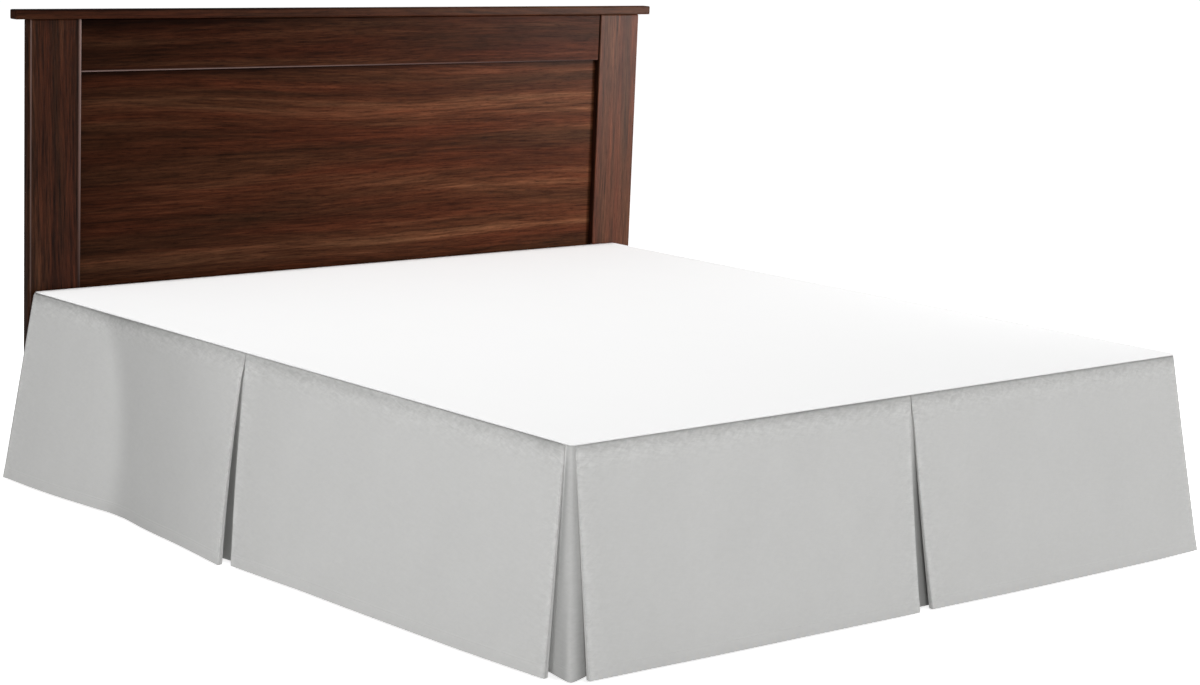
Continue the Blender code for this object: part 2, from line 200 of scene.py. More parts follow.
def grid_sheet(name, points, flip=False):
    """A mesh through points[row, column]; flip turns its faces over."""
    rows, columns, _ = points.shape
    index = np.arange(rows * columns).reshape(rows, columns)
    quads = np.stack([index[:-1, :-1], index[1:, :-1], index[1:, 1:], index[:-1, 1:]], axis=-1)
    quads = quads.reshape(-1, 4)
    if flip:
        quads = quads[:, ::-1]
    thing = add_mesh(name, points.reshape(-1, 3), quads.tolist())
    along, down = lengths(points, 1), lengths(points, 0)
    flat = np.stack([along.mean(axis=0)[None, :] + 0 * along, -down.mean(axis=1)[:, None] + 0 * down], -1)
    thing.data.uv_layers.new(name="cloth").data.foreach_set(
        "uv", flat.reshape(-1, 2)[quads.reshape(-1)].astype(np.float32).ravel()
    )
    thing.data.shade_smooth()
    return thing


def give_thickness(thing, thickness, offset, hem_points=None, hem_thickness=None):
    """Solidify a sheet. offset is -1 to 1 as in the modifier; hem_points are its two-layer points."""
    body = thing.modifiers.new("cloth", "SOLIDIFY")
    body.offset = offset
    body.use_even_offset = True
    body.thickness = thickness
    if hem_points is not None:
        thing.vertex_groups.new(name="hem").add(hem_points, 1.0, "REPLACE")
        body.thickness = hem_thickness
        body.vertex_group = "hem"
        body.thickness_vertex_group = thickness / hem_thickness


def flat_size(thing):
    """The width and length of a sheet's flat cut, from its UV map."""
    uv = np.empty(2 * len(thing.data.loops), np.float32)
    thing.data.uv_layers["cloth"].data.foreach_get("uv", uv)
    uv = uv.reshape(-1, 2)
    return [float(v) for v in uv.max(axis=0) - uv.min(axis=0)]


# %% [markdown]
# ## How the skirt is cut
#
# A tailored bed skirt is a flat sheet, the deck, with a drop sewn along three of its edges. Each drop
# is one strip with an inverted box pleat folded in near its middle, and at the foot corners its ends
# are turned back over a separate underlay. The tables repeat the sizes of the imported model. A row of a
# panel is one line down the cloth: its place along the edge at the seam, its place at the hem, and how
# far the hem stands out there. The uneven numbers are what makes the drop look hung and not drawn.

# %% Sizes of the skirt
DECK_WIDTH, DECK_LENGTH = 1.930, 2.030
SIDE_X = DECK_WIDTH / 2
FOOT_Y = -0.9725
HEAD_Y = FOOT_Y + DECK_LENGTH
DECK_TOP = 0.465
SEAM_Z = 0.4607
HEM_Z = 0.008
DROP = SEAM_Z - HEM_Z

CLOTH = 0.0009                 # one layer
HEM_CLOTH = 0.0018             # the hem, turned up inside
MODEL_HALF = 0.0005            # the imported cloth's front lies this far in front of its middle
HEM_DEPTH = 0.025
LAYER_AT_SEAM, LAYER_AT_HEM = 0.0016, 0.0150
PLEAT_RETURN, CORNER_RETURN, UNDERLAY_REACH = 0.085, 0.060, 0.085

# what a column of a strip holds; the rows of a panel hold the first three
SEAM, HEM, REACH, LAYER, TUCK, EDGE, PINCH, BOW = range(8)
LEFT_HEAD = np.array([
    (-0.0080, 0.0200, 0.101),
    (0.2000, 0.2100, 0.095),
    (0.3600, 0.4200, 0.078),
    (0.4200, 0.5300, 0.073),
    (0.5200, 0.6300, 0.083),
    (0.7100, 0.7900, 0.094),
    (0.9180, 1.0000, 0.118),
])
LEFT_FOOT = np.array([
    (0.9280, 1.0200, 0.097),
    (1.2000, 1.2200, 0.089),
    (1.6200, 1.6200, 0.077),
    (1.8600, 1.8700, 0.067),
    (2.0100, 2.0380, 0.056),
])
FOOT_LEFT = np.array([
    (0.0110, 0.0080, 0.072),
    (0.2900, 0.2900, 0.086),
    (0.5700, 0.5650, 0.096),
    (0.9720, 0.9250, 0.110),
])
FOOT_RIGHT = np.array([
    (0.9810, 0.9680, 0.108),
    (1.3500, 1.3450, 0.119),
    (1.7000, 1.6950, 0.123),
    (1.9180, 1.9080, 0.121),
])
RIGHT_FOOT = np.array([
    (0.0120, -0.0100, 0.052),
    (0.2400, 0.2300, 0.068),
    (0.6000, 0.5900, 0.084),
    (1.0142, 0.9900, 0.104),
])
RIGHT_HEAD = np.array([
    (1.0158, 1.0180, 0.092),
    (1.3200, 1.3100, 0.082),
    (1.6400, 1.6300, 0.088),
    (2.0300, 2.0260, 0.108),
])
# how far the crease of each corner underlay stands out at the hem, past the side and past the foot
LEFT_CREASE, RIGHT_CREASE = (0.0600, 0.0885), (0.0520, 0.1180)
print("drop", round(DROP, 4), "m deep, under a deck of", DECK_WIDTH, "by", DECK_LENGTH)

# %% [markdown]
# ## A strip folded in plan
#
# Seen from above, a pleated strip is a line that runs along the edge, turns back, runs behind itself
# and comes forward again. So the strip is worked out as columns, one for each line from seam to hem.
# Besides its places and reach, a column says how many layers lie in front of it, and how far its fold
# tucks it along the edge. The layers are nearly shut at the seam and open towards the hem, which is why
# both are counted in layer spacings, and the spacing grows on the way down. The two folds of a pleat
# are drawn together where they are sewn, and the open pleat bows a little to one side half way down,
# so each column also says how far it is pinched and bowed.

# %% Columns of a panel's front
COLUMN_STEP = 0.010
EDGE_STEPS = np.array([0.005, 0.0075, 0.0125])   # extra columns beside a fold


def mix(one, other, share):
    """A straight line from one, at the share 0, to the other, at 1."""
    return one + (other - one) * share


def smooth_through(at, places, values):
    """A curve through the rows: between two of them, the cubic that has each one's mean slope there."""
    slopes = np.gradient(values, places)
    i = np.clip(np.searchsorted(places, at) - 1, 0, len(places) - 2)
    span = places[i + 1] - places[i]
    t = (at - places[i]) / span
    return (
        values[i] * (2 * t**3 - 3 * t**2 + 1) + values[i + 1] * (3 * t**2 - 2 * t**3)
        + span * (slopes[i] * (t**3 - 2 * t**2 + t) + slopes[i + 1] * (t**3 - t**2))
    )


def columns(seam, hem, reach, layer=0.0, tuck=0.0, edge=0.0):
    """One row for each column, not pinched or bowed yet; the arguments are arrays or single numbers."""
    return np.column_stack(np.broadcast_arrays(seam, hem, reach, layer, tuck, edge, 0.0, 0.0))


def panel_front(panel):
    """Even steps along a panel's hem, with finer ones at both ends; the place at the seam follows in
    straight lines between rows. edge is how far a column lies inside its panel."""
    first, last = panel[0, HEM], panel[-1, HEM]
    at = np.linspace(first, last, round((last - first) / COLUMN_STEP) + 1)
    at = np.sort(np.concatenate([at, first + EDGE_STEPS, last - EDGE_STEPS]))
    return columns(
        np.interp(at, panel[:, HEM], panel[:, SEAM]), at,
        smooth_through(at, panel[:, HEM], panel[:, REACH]),
        edge=np.minimum(at - first, last - at),
    )

# %% Folds and pleats
FOLD_STEPS = 12
PRESSED = 0.40                 # how much of a round fold's tuck is left on a pressed fold's front
OPENS_BEHIND = 2.2             # power of the way back on a pressed fold
RETURN_COLUMNS, CORNER_COLUMNS = 8, 6
POCKET_COLUMNS, POCKET_CROWD = 30, 1.6
PINCH_FADE, BOW_FADE = 0.040, 0.15


def fold(edge, heading, first_layer, last_layer):
    """Half a turn round an edge: the layer goes by (1 - cos)/2, and the tuck by (1 - sin)/2 back from
    the edge. heading is +1 where the cloth comes along the edge, and -1 where it goes back. A fold
    that shows is pressed: it turns sharply at the front and opens behind, so there the share of the
    way back is raised to a power and the front's tuck is less."""
    turn = np.linspace(0.0, np.pi, FOLD_STEPS + 1)
    shows = min(first_layer, last_layer) == 0
    if first_layer > last_layer:
        turn = turn[::-1]
    back = (1 - np.cos(turn)) / 2
    tuck = (1 - np.sin(turn)) / 2
    if shows:
        tuck = np.where(back < 0.5, PRESSED, 1.0) * tuck
        back = back**OPENS_BEHIND
    layer = min(first_layer, last_layer) + abs(last_layer - first_layer) * back
    return columns(*edge, layer, -heading * tuck)


def inner_end(panel, last, depth):
    """Where a return ends, depth behind a panel's first or last edge."""
    seam, hem, _ = panel[-1 if last else 0]
    step = -depth if last else depth
    reach = smooth_through(np.array([hem + step]), panel[:, HEM], panel[:, REACH])[0]
    return np.array([seam + step, hem + step, reach])


def between(one, other, count, layer, crowd=1.0):
    """count columns strictly between two places, on one layer. The way w from -1 to 1 is raised to the
    power crowd, which brings the columns closer together in the middle."""
    way = np.linspace(-1, 1, count + 2)[1:-1, None]
    share = (1 + np.sign(way) * np.abs(way) ** crowd) / 2
    return columns(*mix(one, other, share).T, layer)


def box_pleat(before, after):
    """Return, underlay and return, joined by four folds."""
    edge_in, edge_out = before[-1], after[0]
    deep_in, deep_out = inner_end(before, True, PLEAT_RETURN), inner_end(after, False, PLEAT_RETURN)
    return np.concatenate([
        fold(edge_in, 1, 0, 1), between(edge_in, deep_in, RETURN_COLUMNS, 1), fold(deep_in, -1, 1, 2),
        between(deep_in, deep_out, POCKET_COLUMNS, 2, POCKET_CROWD),
        fold(deep_out, 1, 2, 1), between(deep_out, edge_out, RETURN_COLUMNS, 1), fold(edge_out, -1, 1, 0),
    ])


def corner_return(panel, last):
    """A fold, and the cloth turned back behind the panel's end."""
    edge, deep = panel[-1 if last else 0], inner_end(panel, last, CORNER_RETURN)
    turn, flat = fold(edge, 1 if last else -1, 0, 1), between(edge, deep, CORNER_COLUMNS, 1)
    back = np.concatenate([turn, flat, columns(*deep, 1)])
    return back if last else back[::-1]

# %% Put the strips together
def pinch(strip, middle, half):
    """Each column's way to the middle of its pleat: half of the gap less a cloth's thickness, times
    exp(-d/fade) at the distance d from the fold, and nothing on the underlay."""
    away = strip[:, SEAM] - middle
    beside = np.clip(np.abs(away) - half, 0, None)
    drawn = max(half - CLOTH, 0) * np.exp(-beside / PINCH_FADE) * np.clip(2 - strip[:, LAYER], 0, 1)
    return -np.sign(away) * drawn


def whole_drop(first, second, starts_at_corner, ends_at_corner, bow):
    """Both panels with their pleat, and a return at each end that lies at a corner. bow is how far the
    pleat bows along the edge; it fades by exp(-d/fade) on both sides."""
    strip = np.concatenate(
        ([corner_return(first, False)] if starts_at_corner else [])
        + [panel_front(first)[1 if starts_at_corner else 0:-1], box_pleat(first, second)]
        + [panel_front(second)[1:-1 if ends_at_corner else None]]
        + ([corner_return(second, True)] if ends_at_corner else [])
    )
    last, first = first[-1, SEAM], second[0, SEAM]
    middle = (last + first) / 2
    strip[:, PINCH] = pinch(strip, middle, (first - last) / 2)
    strip[:, BOW] = bow * np.exp(-np.abs(strip[:, SEAM] - middle) / BOW_FADE)
    return strip


left_columns = whole_drop(LEFT_HEAD, LEFT_FOOT, False, True, -0.008)
foot_columns = whole_drop(FOOT_LEFT, FOOT_RIGHT, True, True, -0.004)
right_columns = whole_drop(RIGHT_FOOT, RIGHT_HEAD, True, False, 0.004)
print("columns:", len(left_columns), len(foot_columns), len(right_columns))

# %% [markdown]
# ## Creases, puckers and the hem's ridge
#
# On this plain form lie the marks of handling. Creases are listed one row for each: a soft trough whose
# line may bow, and which widens at its own rate on its two sides, so one side of it catches the light and
# the other doesn't. Puckers are the small pulls under a seam that was sewn a little tight. They only swell
# outwards, so the layers behind them stay clear. The hem is a turned-up fold, held by a row of stitches
# that sinks into the cloth.
#
# Light and shade are also painted into the cloth's tone: painted shade beyond a deep crease, under the
# seam, towards the hem and on a pleat's underlay, and painted light along a pressed fold and behind it.
# Such tones are an attribute on the points, which the cloth's material reads.

# %% The marks
# place at the seam, at the hem, bow, from share, to share, width before, width after, depth
LEFT_CREASES = (
    (0.325, 0.465, 0.055, -0.10, 1.20, 0.040, 0.120, 0.0060),
    (0.105, 0.060, 0.010, 0.10, 1.20, 0.070, 0.050, 0.0012),
    (0.660, 0.730, 0.0, 0.30, 1.20, 0.060, 0.080, -0.0014),
    (1.330, 1.270, 0.020, 0.35, 1.20, 0.080, 0.080, 0.0020),
    (1.480, 1.500, 0.0, -0.10, 0.75, 0.090, 0.090, -0.0012),
    (1.800, 1.770, -0.010, 0.20, 1.20, 0.080, 0.070, -0.0012),
)
FOOT_CREASES = (
    (0.230, 0.180, 0.015, 0.15, 1.20, 0.090, 0.090, 0.0016),
    (0.450, 0.520, 0.0, -0.10, 0.90, 0.080, 0.100, -0.0010),
    (0.800, 0.740, -0.010, -0.10, 0.60, 0.060, 0.060, 0.0010),
    (1.180, 1.210, 0.010, 0.10, 1.20, 0.080, 0.080, -0.0012),
    (1.500, 1.540, 0.0, -0.10, 0.80, 0.090, 0.090, 0.0014),
    (1.760, 1.740, 0.010, 0.40, 1.20, 0.060, 0.060, -0.0010),
)
RIGHT_CREASES = (
    (0.260, 0.300, 0.010, 0.10, 1.20, 0.090, 0.060, 0.0020),
    (0.640, 0.600, 0.0, -0.10, 0.80, 0.080, 0.090, -0.0014),
    (1.280, 1.240, 0.030, -0.10, 1.20, 0.110, 0.040, 0.0040),
    (1.700, 1.740, 0.0, 0.20, 1.20, 0.080, 0.080, -0.0014),
)
# painted shade: place at the seam, at the hem, bow, rise over, full until, gone at, how much darker
LEFT_PAINTED_SHADES = (
    (0.325, 0.465, 0.055, 0.090, 0.160, 0.620, 0.145),
    (0.985, 1.020, 0.0, 0.020, 0.040, 0.240, 0.03),
)
FOOT_PAINTED_SHADES = ((0.000, 0.060, 0.0, 0.040, 0.080, 0.300, 0.02),)
RIGHT_PAINTED_SHADES = ((1.260, 1.220, 0.030, 0.080, 0.090, 0.360, 0.08),)
# painted shade at the seam: place along the seam, how dark the cloth is painted just under it, how pale it
# is painted again right under the rim
LEFT_SEAM_PAINTED_SHADE = (
    (0.00, 0.48, 0.0), (0.16, 0.36, 0.0), (0.42, 0.42, 0.10), (0.70, 0.34, 0.30), (1.15, 0.48, 0.45),
    (1.42, 0.48, 0.45), (1.60, 0.24, 0.0), (1.82, 0.28, 0.0), (1.96, 0.50, 0.10), (2.03, 0.30, 0.0),
)
FOOT_SEAM_PAINTED_SHADE = (
    (0.00, 0.22, 0.0), (0.22, 0.26, 0.0), (0.50, 0.34, 0.0), (0.78, 0.44, 0.0), (1.02, 0.30, 0.0),
    (1.30, 0.28, 0.0), (1.60, 0.26, 0.0), (1.93, 0.34, 0.0),
)
RIGHT_SEAM_PAINTED_SHADE = (
    (0.00, 0.34, 0.0), (0.40, 0.26, 0.0), (0.90, 0.44, 0.20), (1.40, 0.30, 0.0), (2.03, 0.42, 0.0),
)
# place along the hem, painted shade of the pleat's underlay there, as a tone
LEFT_PLEAT_PAINTED_SHADE = ((1.000, 0.84), (1.020, 0.95))
FOOT_PLEAT_PAINTED_SHADE = ((0.940, 0.95), (0.962, 0.47))
RIGHT_PLEAT_PAINTED_SHADE = ((0.990, 0.66), (1.018, 0.95))

# %% Relief and painted shade of the marks
CREASE_ROUNDING, WIDTH_CHANGE, CREASE_FADE = 0.030, 0.010, 0.2
RISES_BEFORE = 0.4             # share of a shade's rise that lies before its line
PUCKERS, FLAT_PUCKERS, FLAT_LENGTH, FLAT_WIDTH = 70, 36, 0.030, 0.006
# from where to where chance picks: depth, width, length and height; depth, height and lean
PUCKER_RANGES = (0.004, 0.020), (0.006, 0.014), (0.012, 0.030), (0.0002, 0.0010)
FLAT_RANGES = (0.012, 0.045), (0.0003, 0.0010), (-0.12, 0.12)
HEM_PROUD, HEM_SOFT, STITCH_DIP, STITCH_WIDTH = 0.0003, 0.003, 0.0003, 0.0016
STITCH_ABOVE_HEM = 0.022


def soft_step(value, start, end):
    """0 before start and 1 after end, by 3t^2 - 2t^3 between them."""
    t = np.clip((value - start) / (end - start), 0, 1)
    return t * t * (3 - 2 * t)


def bell(value, middle, width):
    """1 at the middle, and exp(-(d/width)^2) at the distance d from it."""
    return np.exp(-(((value - middle) / width) ** 2))


def line_place(share, seam, hem, bow):
    """A mark's place along the edge: straight from seam to hem, plus a parabola that bows it."""
    return mix(seam, hem, share) + 4 * bow * share * (1 - share)


def creases(run, share, table):
    """Each crease sinks by its depth times exp(-d/width), where d is the rounded distance from its
    line, and fades in and out over a fifth of the drop at its two ends. Negative depths are ridges."""
    relief = np.zeros_like(run)
    for seam, hem, bow, start, end, before, after, depth in table:
        away = run - line_place(share, seam, hem, bow)
        width = mix(before, after, soft_step(away, -WIDTH_CHANGE, WIDTH_CHANGE))
        rounded = np.sqrt(away**2 + CREASE_ROUNDING**2) - CREASE_ROUNDING
        ends = soft_step(share, start, start + CREASE_FADE) * (1 - soft_step(share, end - CREASE_FADE, end))
        relief -= depth * np.exp(-rounded / width) * ends
    return relief


def painted_shade_marks(run, share, table):
    """What is left of the tone under painted shade: each mark takes its amount away beyond its line, by a
    soft step up to its full value and another back to nothing."""
    left = np.ones_like(run)
    for seam, hem, bow, rise, full, gone, amount in table:
        away = run - line_place(share, seam, hem, bow)
        risen = soft_step(away, -RISES_BEFORE * rise, (1 - RISES_BEFORE) * rise)
        left *= 1 - amount * risen * (1 - soft_step(away, full, gone))
    return left


def puckers(run, down, seed):
    """The sum of small swellings below the seam, each one bell along the edge times a longer one down
    the cloth, and of flat ones that lie along the seam and lean a little."""
    chance = np.random.default_rng(seed)
    ends = (run.min(), run.max())
    relief = np.zeros_like(run)
    for _ in range(PUCKERS):
        place, depth, wide, long, height = (chance.uniform(*reach) for reach in (ends, *PUCKER_RANGES))
        relief += height * bell(run, place, wide) * bell(down, depth, long)
    for _ in range(FLAT_PUCKERS):
        place, depth, height, lean = (chance.uniform(*reach) for reach in (ends, *FLAT_RANGES))
        leaning = down - lean * (run - place)
        relief += height * bell(run, place, FLAT_LENGTH) * bell(leaning, depth, FLAT_WIDTH)
    return relief


def hem_ridge(above):
    """The hem stands a little proud, and dips as much where the stitches hold it."""
    proud = HEM_PROUD * (1 - soft_step(above, HEM_DEPTH - HEM_SOFT, HEM_DEPTH + HEM_SOFT))
    return proud - STITCH_DIP * bell(above, STITCH_ABOVE_HEM, STITCH_WIDTH)


# %% [markdown]
# ## Hanging a drop
#
# Now the two parameters meet. One is the column, the other the share of the drop from the seam (0) to the
# hem (1). The rows lie close together at the seam and round the stitches, and further apart on the open
# cloth. The top few millimetres are drawn in under the rim of the deck, which leaves a dark line between
# white and grey; painted shade under the seam deepens it.

# %% Where the points of a drop lie
# rows of points: their distances below the seam and above the hem, with even ones between them
BELOW_SEAM = np.array([0, 0.0012, 0.0025, 0.004, 0.006, 0.009, 0.012, 0.016, 0.020, 0.025, 0.030, 0.036])
ABOVE_HEM = np.array([
    0.034, 0.030, 0.027, 0.0255, 0.0245, 0.0235, 0.0228, 0.022, 0.0212, 0.0205, 0.019, 0.016, 0.012,
    0.008, 0.004, 0.002, 0.0008, 0.0,
])
EVEN_POINTS = 44
EVEN_ROWS = np.linspace(BELOW_SEAM[-1], DROP - ABOVE_HEM[0], EVEN_POINTS)[1:-1]
SHARES = np.concatenate([BELOW_SEAM, EVEN_ROWS, DROP - ABOVE_HEM]) / DROP

DRAWN_IN, DRAWN_DOWN = 0.0022, 0.006   # how far the cloth goes in under the rim, and down to where
PINCH_HELD, PINCH_GONE = 0.015, 0.065  # how far below the seam a pinch is full, and where it ends
RELIEF_INSIDE = 0.025                  # how far inside a fold the marks have their full depth


def spacing_at(share):
    """How far two layers lie apart at a share of the drop."""
    return mix(LAYER_AT_SEAM, LAYER_AT_HEM, share)


def run_of(strip, share):
    """Place of each column along the edge: straight from seam to hem with a parabola for its bow, plus
    its pinch near the seam and its tuck."""
    near_seam = 1 - soft_step(share * DROP, PINCH_HELD, PINCH_GONE)
    line = line_place(share, strip[:, SEAM], strip[:, HEM], strip[:, BOW])
    return line + strip[:, PINCH] * near_seam + strip[:, TUCK] * spacing_at(share)


def drop_surface(strip, shares, start, along, outward, marks, seed):
    """Point of column c at share s: start + along * run + outward * out, at the height of s. out is
    the column's reach times s, less its layers, plus the relief of creases, puckers and hem."""
    share = shares[:, None]
    run, down = run_of(strip, share), share * DROP
    relief = creases(run, share, marks) + puckers(run, down, seed)
    out = strip[:, REACH] * share - strip[:, LAYER] * spacing_at(share) - MODEL_HALF
    out = out + relief * soft_step(strip[:, EDGE], 0.0, RELIEF_INSIDE)
    out = out + hem_ridge(DROP - down) - DRAWN_IN * (1 - soft_step(down, 0.0, DRAWN_DOWN))
    start, along, outward = (np.array([*v, 0.0]) for v in (start, along, outward))
    height = np.array([0.0, 0.0, 1.0]) * (SEAM_Z - down + 0 * run)[..., None]
    return start + along * run[..., None] + outward * out[..., None] + height

# %% Painted light and shade, and pull of the cloth
SEAM_PALER, HEM_DARKER = 1.03, 0.96    # painted light on the front at the seam, and painted shade at the hem
SEAM_SHADE, RIM_LIGHT = 0.012, 0.004   # how far down the seam's painted shade and its painted light reach
# a slight band of painted light below the seam's painted shade: its amount, depth and width
SWELL_PAINTED_LIGHT, SWELL_DOWN, SWELL_WIDTH = 0.03, 0.032, 0.012
FOLD_PAINTED_LIGHT, LINE_INSIDE, LINE_WIDTH = 0.07, 0.007, 0.005   # the painted highlight beside a pressed fold
PATCHY, PATCHES_DOWN, PATCHES_ALONG = 0.4, 40.0, 9.0   # how much that line comes and goes, how fast
TURN_PAINTED_SHADE, TURN_WIDTH = 0.06, 0.002  # painted shade on the fold's turn
FRONT_LAYERS, FOLD_LAYERS = (0.5, 1.0), (0.0, 0.5)     # from where to where a fold's front ends
POCKET_LAYERS, UPPER_HALF = (0.15, 0.6), (0.1, 0.5)   # from where to where a pocket's painted light and painted shade come in
POCKET_PAINTED_LIGHT = 0.30            # painted light behind a fold
PULL_EVERYWHERE, PULL_BESIDE = 0.16, 0.6   # ripples all over, and beside a fold
PULL_DOWN, PULL_INSIDE = 0.040, 0.025      # how far they reach from the seam and from a fold


def seam_painted_shade(run, down, table):
    """The seam's painted shade, exp(-d/reach) times its amount there, less its painted light in the same
    way, and a slight band of painted light some 30 mm below."""
    place, darker, paler = np.array(table).T
    shade = np.interp(run, place, darker) * np.exp(-down / SEAM_SHADE)
    shade = shade - np.interp(run, place, paler) * np.exp(-down / RIM_LIGHT)
    return 1 - shade + SWELL_PAINTED_LIGHT * bell(down, SWELL_DOWN, SWELL_WIDTH)


def inside_of(strip, share):
    """How far a point lies inside the nearest fold of its panel, also on the turn of that fold."""
    return strip[:, EDGE] + np.abs(strip[:, TUCK]) * spacing_at(share)


def drop_tone(strip, shares, painted_shade_table, seam_table, pleat_table):
    """Tone of each point, made of painted light and shade: the even fall from seam to hem, times the listed
    marks of painted shade and the seam's. Beside a fold there is a painted highlight, a patchy bell, and
    painted shade on its turn. Behind a fold the cloth has painted light, and the underlay of a pleat has
    its own painted shade, which fades in on the upper half of the drop."""
    share = shares[:, None]
    run, inside = run_of(strip, share), inside_of(strip, share)
    tone = mix(SEAM_PALER, HEM_DARKER, share) * painted_shade_marks(run, share, painted_shade_table)
    tone = tone * seam_painted_shade(run, share * DROP, seam_table)
    patchy = 1 - PATCHY + PATCHY * np.sin(PATCHES_DOWN * share + PATCHES_ALONG * strip[:, HEM])
    front = 1 - soft_step(strip[:, LAYER], *FRONT_LAYERS)
    beside = FOLD_PAINTED_LIGHT * patchy * bell(inside, LINE_INSIDE, LINE_WIDTH)
    beside = beside - TURN_PAINTED_SHADE * bell(inside, 0, TURN_WIDTH)
    pocket = 1 + POCKET_PAINTED_LIGHT * soft_step(strip[:, LAYER], *POCKET_LAYERS)
    across = np.interp(strip[:, HEM], *np.array(pleat_table).T)
    pocket = pocket * mix(1, across, soft_step(strip[:, LAYER], 1, 2) * soft_step(share, *UPPER_HALF))
    return tone * (1 + front * beside) * pocket


def drop_pull(strip, shares):
    """How strongly the cloth is rippled, in bump and in painted shading: most near the seam, some beside
    the folds, and a little everywhere."""
    share = shares[:, None]
    beside = np.exp(-inside_of(strip, share) / PULL_INSIDE) * (1 - soft_step(strip[:, LAYER], *FOLD_LAYERS))
    return np.clip(PULL_EVERYWHERE + bell(share * DROP, 0, PULL_DOWN) + PULL_BESIDE * beside, 0, 1)

# %% Hang the three drops
def give_values(thing, **values):
    """Write values for each point of a sheet, as attributes that its material reads."""
    for name, grid in values.items():
        layer = thing.data.attributes.new(name, "FLOAT", "POINT")
        layer.data.foreach_set("value", grid.astype(np.float32).ravel())


pieces = {}


def take_place(thing, packed):
    """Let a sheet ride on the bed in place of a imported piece, and note it down."""
    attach(thing, "root")
    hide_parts(packed)
    pieces[thing.name] = thing
    print(thing.name, "cut", [round(v, 3) for v in flat_size(thing)], len(thing.data.polygons), "faces")


def hang_sheet(name, packed, points, tone, pull, flip=False):
    """A sheet of the drops' cloth, with its values and its hem of two layers."""
    thing = grid_sheet(name, points, flip)
    give_values(thing, tone=tone, pull=pull)
    hem_rows = np.flatnonzero(SHARES >= 1 - HEM_DEPTH / DROP - 1e-9)
    hem_points = hem_rows[:, None] * points.shape[1] + np.arange(points.shape[1])
    give_thickness(thing, CLOTH, 0.0, hem_points.ravel().tolist(), HEM_CLOTH)
    take_place(thing, packed)


# imported piece; columns, start, direction along and outward, creases, seed; tables for its painted shade
# and light
DROPS = {
    "side_drop_left": (
        "drop_side_left", (left_columns, (-SIDE_X, HEAD_Y), (0, -1), (-1, 0), LEFT_CREASES, 11),
        (LEFT_PAINTED_SHADES, LEFT_SEAM_PAINTED_SHADE, LEFT_PLEAT_PAINTED_SHADE),
    ),
    "foot_drop": (
        "drop_foot", (foot_columns, (-SIDE_X, FOOT_Y), (1, 0), (0, -1), FOOT_CREASES, 12),
        (FOOT_PAINTED_SHADES, FOOT_SEAM_PAINTED_SHADE, FOOT_PLEAT_PAINTED_SHADE),
    ),
    "side_drop_right": (
        "drop_side_right", (right_columns, (SIDE_X, FOOT_Y), (0, 1), (1, 0), RIGHT_CREASES, 13),
        (RIGHT_PAINTED_SHADES, RIGHT_SEAM_PAINTED_SHADE, RIGHT_PLEAT_PAINTED_SHADE),
    ),
}
for name, (packed, (strip, *hang), tones) in DROPS.items():
    points = drop_surface(strip, SHARES, *hang)
    hang_sheet(name, packed, points, drop_tone(strip, SHARES, *tones), drop_pull(strip, SHARES))

# %% [markdown]
# ## The underlays behind the foot corners
#
# At a foot corner the two drops part, and a separate piece of cloth shows in the split. It hangs in two
# faces with a soft crease between them, a little further out than the corner itself, and its far edges lie
# behind the returns of the drops. Its columns run from one far edge over the crease to the other, and the
# crease is rounded off by mixing the two faces near it. The split is a narrow pocket, and its cloth has
# painted shade: lightest along the crease and deepest towards the folds on both sides, with painted light
# behind the folds.

# %% The shape and painted shade of an underlay
UNDERLAY_COLUMNS, UNDERLAY_CROWD = 26, 1.5
CREASE_CUT, CREASE_SOFTNESS = 0.06, 4
UNDERLAY_LIFT = 0.018          # how much higher its hem ends behind the drops than at the crease
UNDERLAY_PULL = 0.3


def underlay_surface(side, crease, side_reach, foot_reach, shares):
    """Column w goes from -1, the far edge behind the side drop, over 0, the crease, to 1 behind the
    foot. Its point is the corner plus |w| of the way to that edge, where |w| is rounded to
    sqrt(w^2 + c^2) - c and the two faces are mixed by their sides of the crease."""
    way = np.linspace(-1, 1, 2 * UNDERLAY_COLUMNS + 1)
    way = np.sign(way) * np.abs(way) ** UNDERLAY_CROWD
    share = shares[:, None, None]
    behind = 2 * spacing_at(share) + MODEL_HALF
    far = np.full_like(share, -UNDERLAY_REACH)
    corner = np.array(crease) * share - behind
    side_end = np.concatenate([side_reach * share - behind, far], axis=-1)
    foot_end = np.concatenate([far, foot_reach * share - behind], axis=-1)
    rounded = (np.sqrt(way**2 + CREASE_CUT**2) - CREASE_CUT) / (math.sqrt(1 + CREASE_CUT**2) - CREASE_CUT)
    soft = CREASE_CUT / 4 * (1 - np.abs(way)) ** CREASE_SOFTNESS
    to_side = ((rounded - way) / 2 + soft)[None, :, None]
    to_foot = ((rounded + way) / 2 + soft)[None, :, None]
    place = corner + (side_end - corner) * to_side + (foot_end - corner) * to_foot
    place = place + hem_ridge((1 - share) * DROP)
    x, y = side * (SIDE_X + place[..., 0]), FOOT_Y - place[..., 1]
    height = SEAM_Z - share[..., 0] * (DROP - UNDERLAY_LIFT * rounded)
    return np.stack([x, y, height], axis=-1)


SPLIT_AT_SEAM, SPLIT_AT_HEM = 0.010, 0.046
SIDE_FULL_AT, FOOT_FULL_AT = 0.12, 0.25        # share of the drop at which the painted shade is full
SHADE_AT_SEAM = 0.35                           # how much of it there is at the seam
OVER_CREASE, BEHIND_FOLD, LOWER_HALF = (-0.3, 0.1), (1.0, 1.4), (0.45, 0.95)   # from where to where
# place across half the split, from the side's fold (-1) over the crease (0) to the foot's fold (1); tone of
# painted shade there half way down, tone of painted shade there at the hem
UNDERLAY_PAINTED_SHADES = (
    (-1.00, 0.64, 0.70),
    (-0.80, 0.66, 0.68),
    (-0.50, 0.80, 0.64),
    (-0.30, 0.86, 0.66),
    (-0.12, 0.86, 0.82),
    (0.00, 0.86, 0.86),
    (0.28, 0.83, 0.78),
    (0.43, 0.81, 0.68),
    (0.57, 0.79, 0.57),
    (0.75, 0.77, 0.52),
    (1.00, 0.73, 0.44),
)


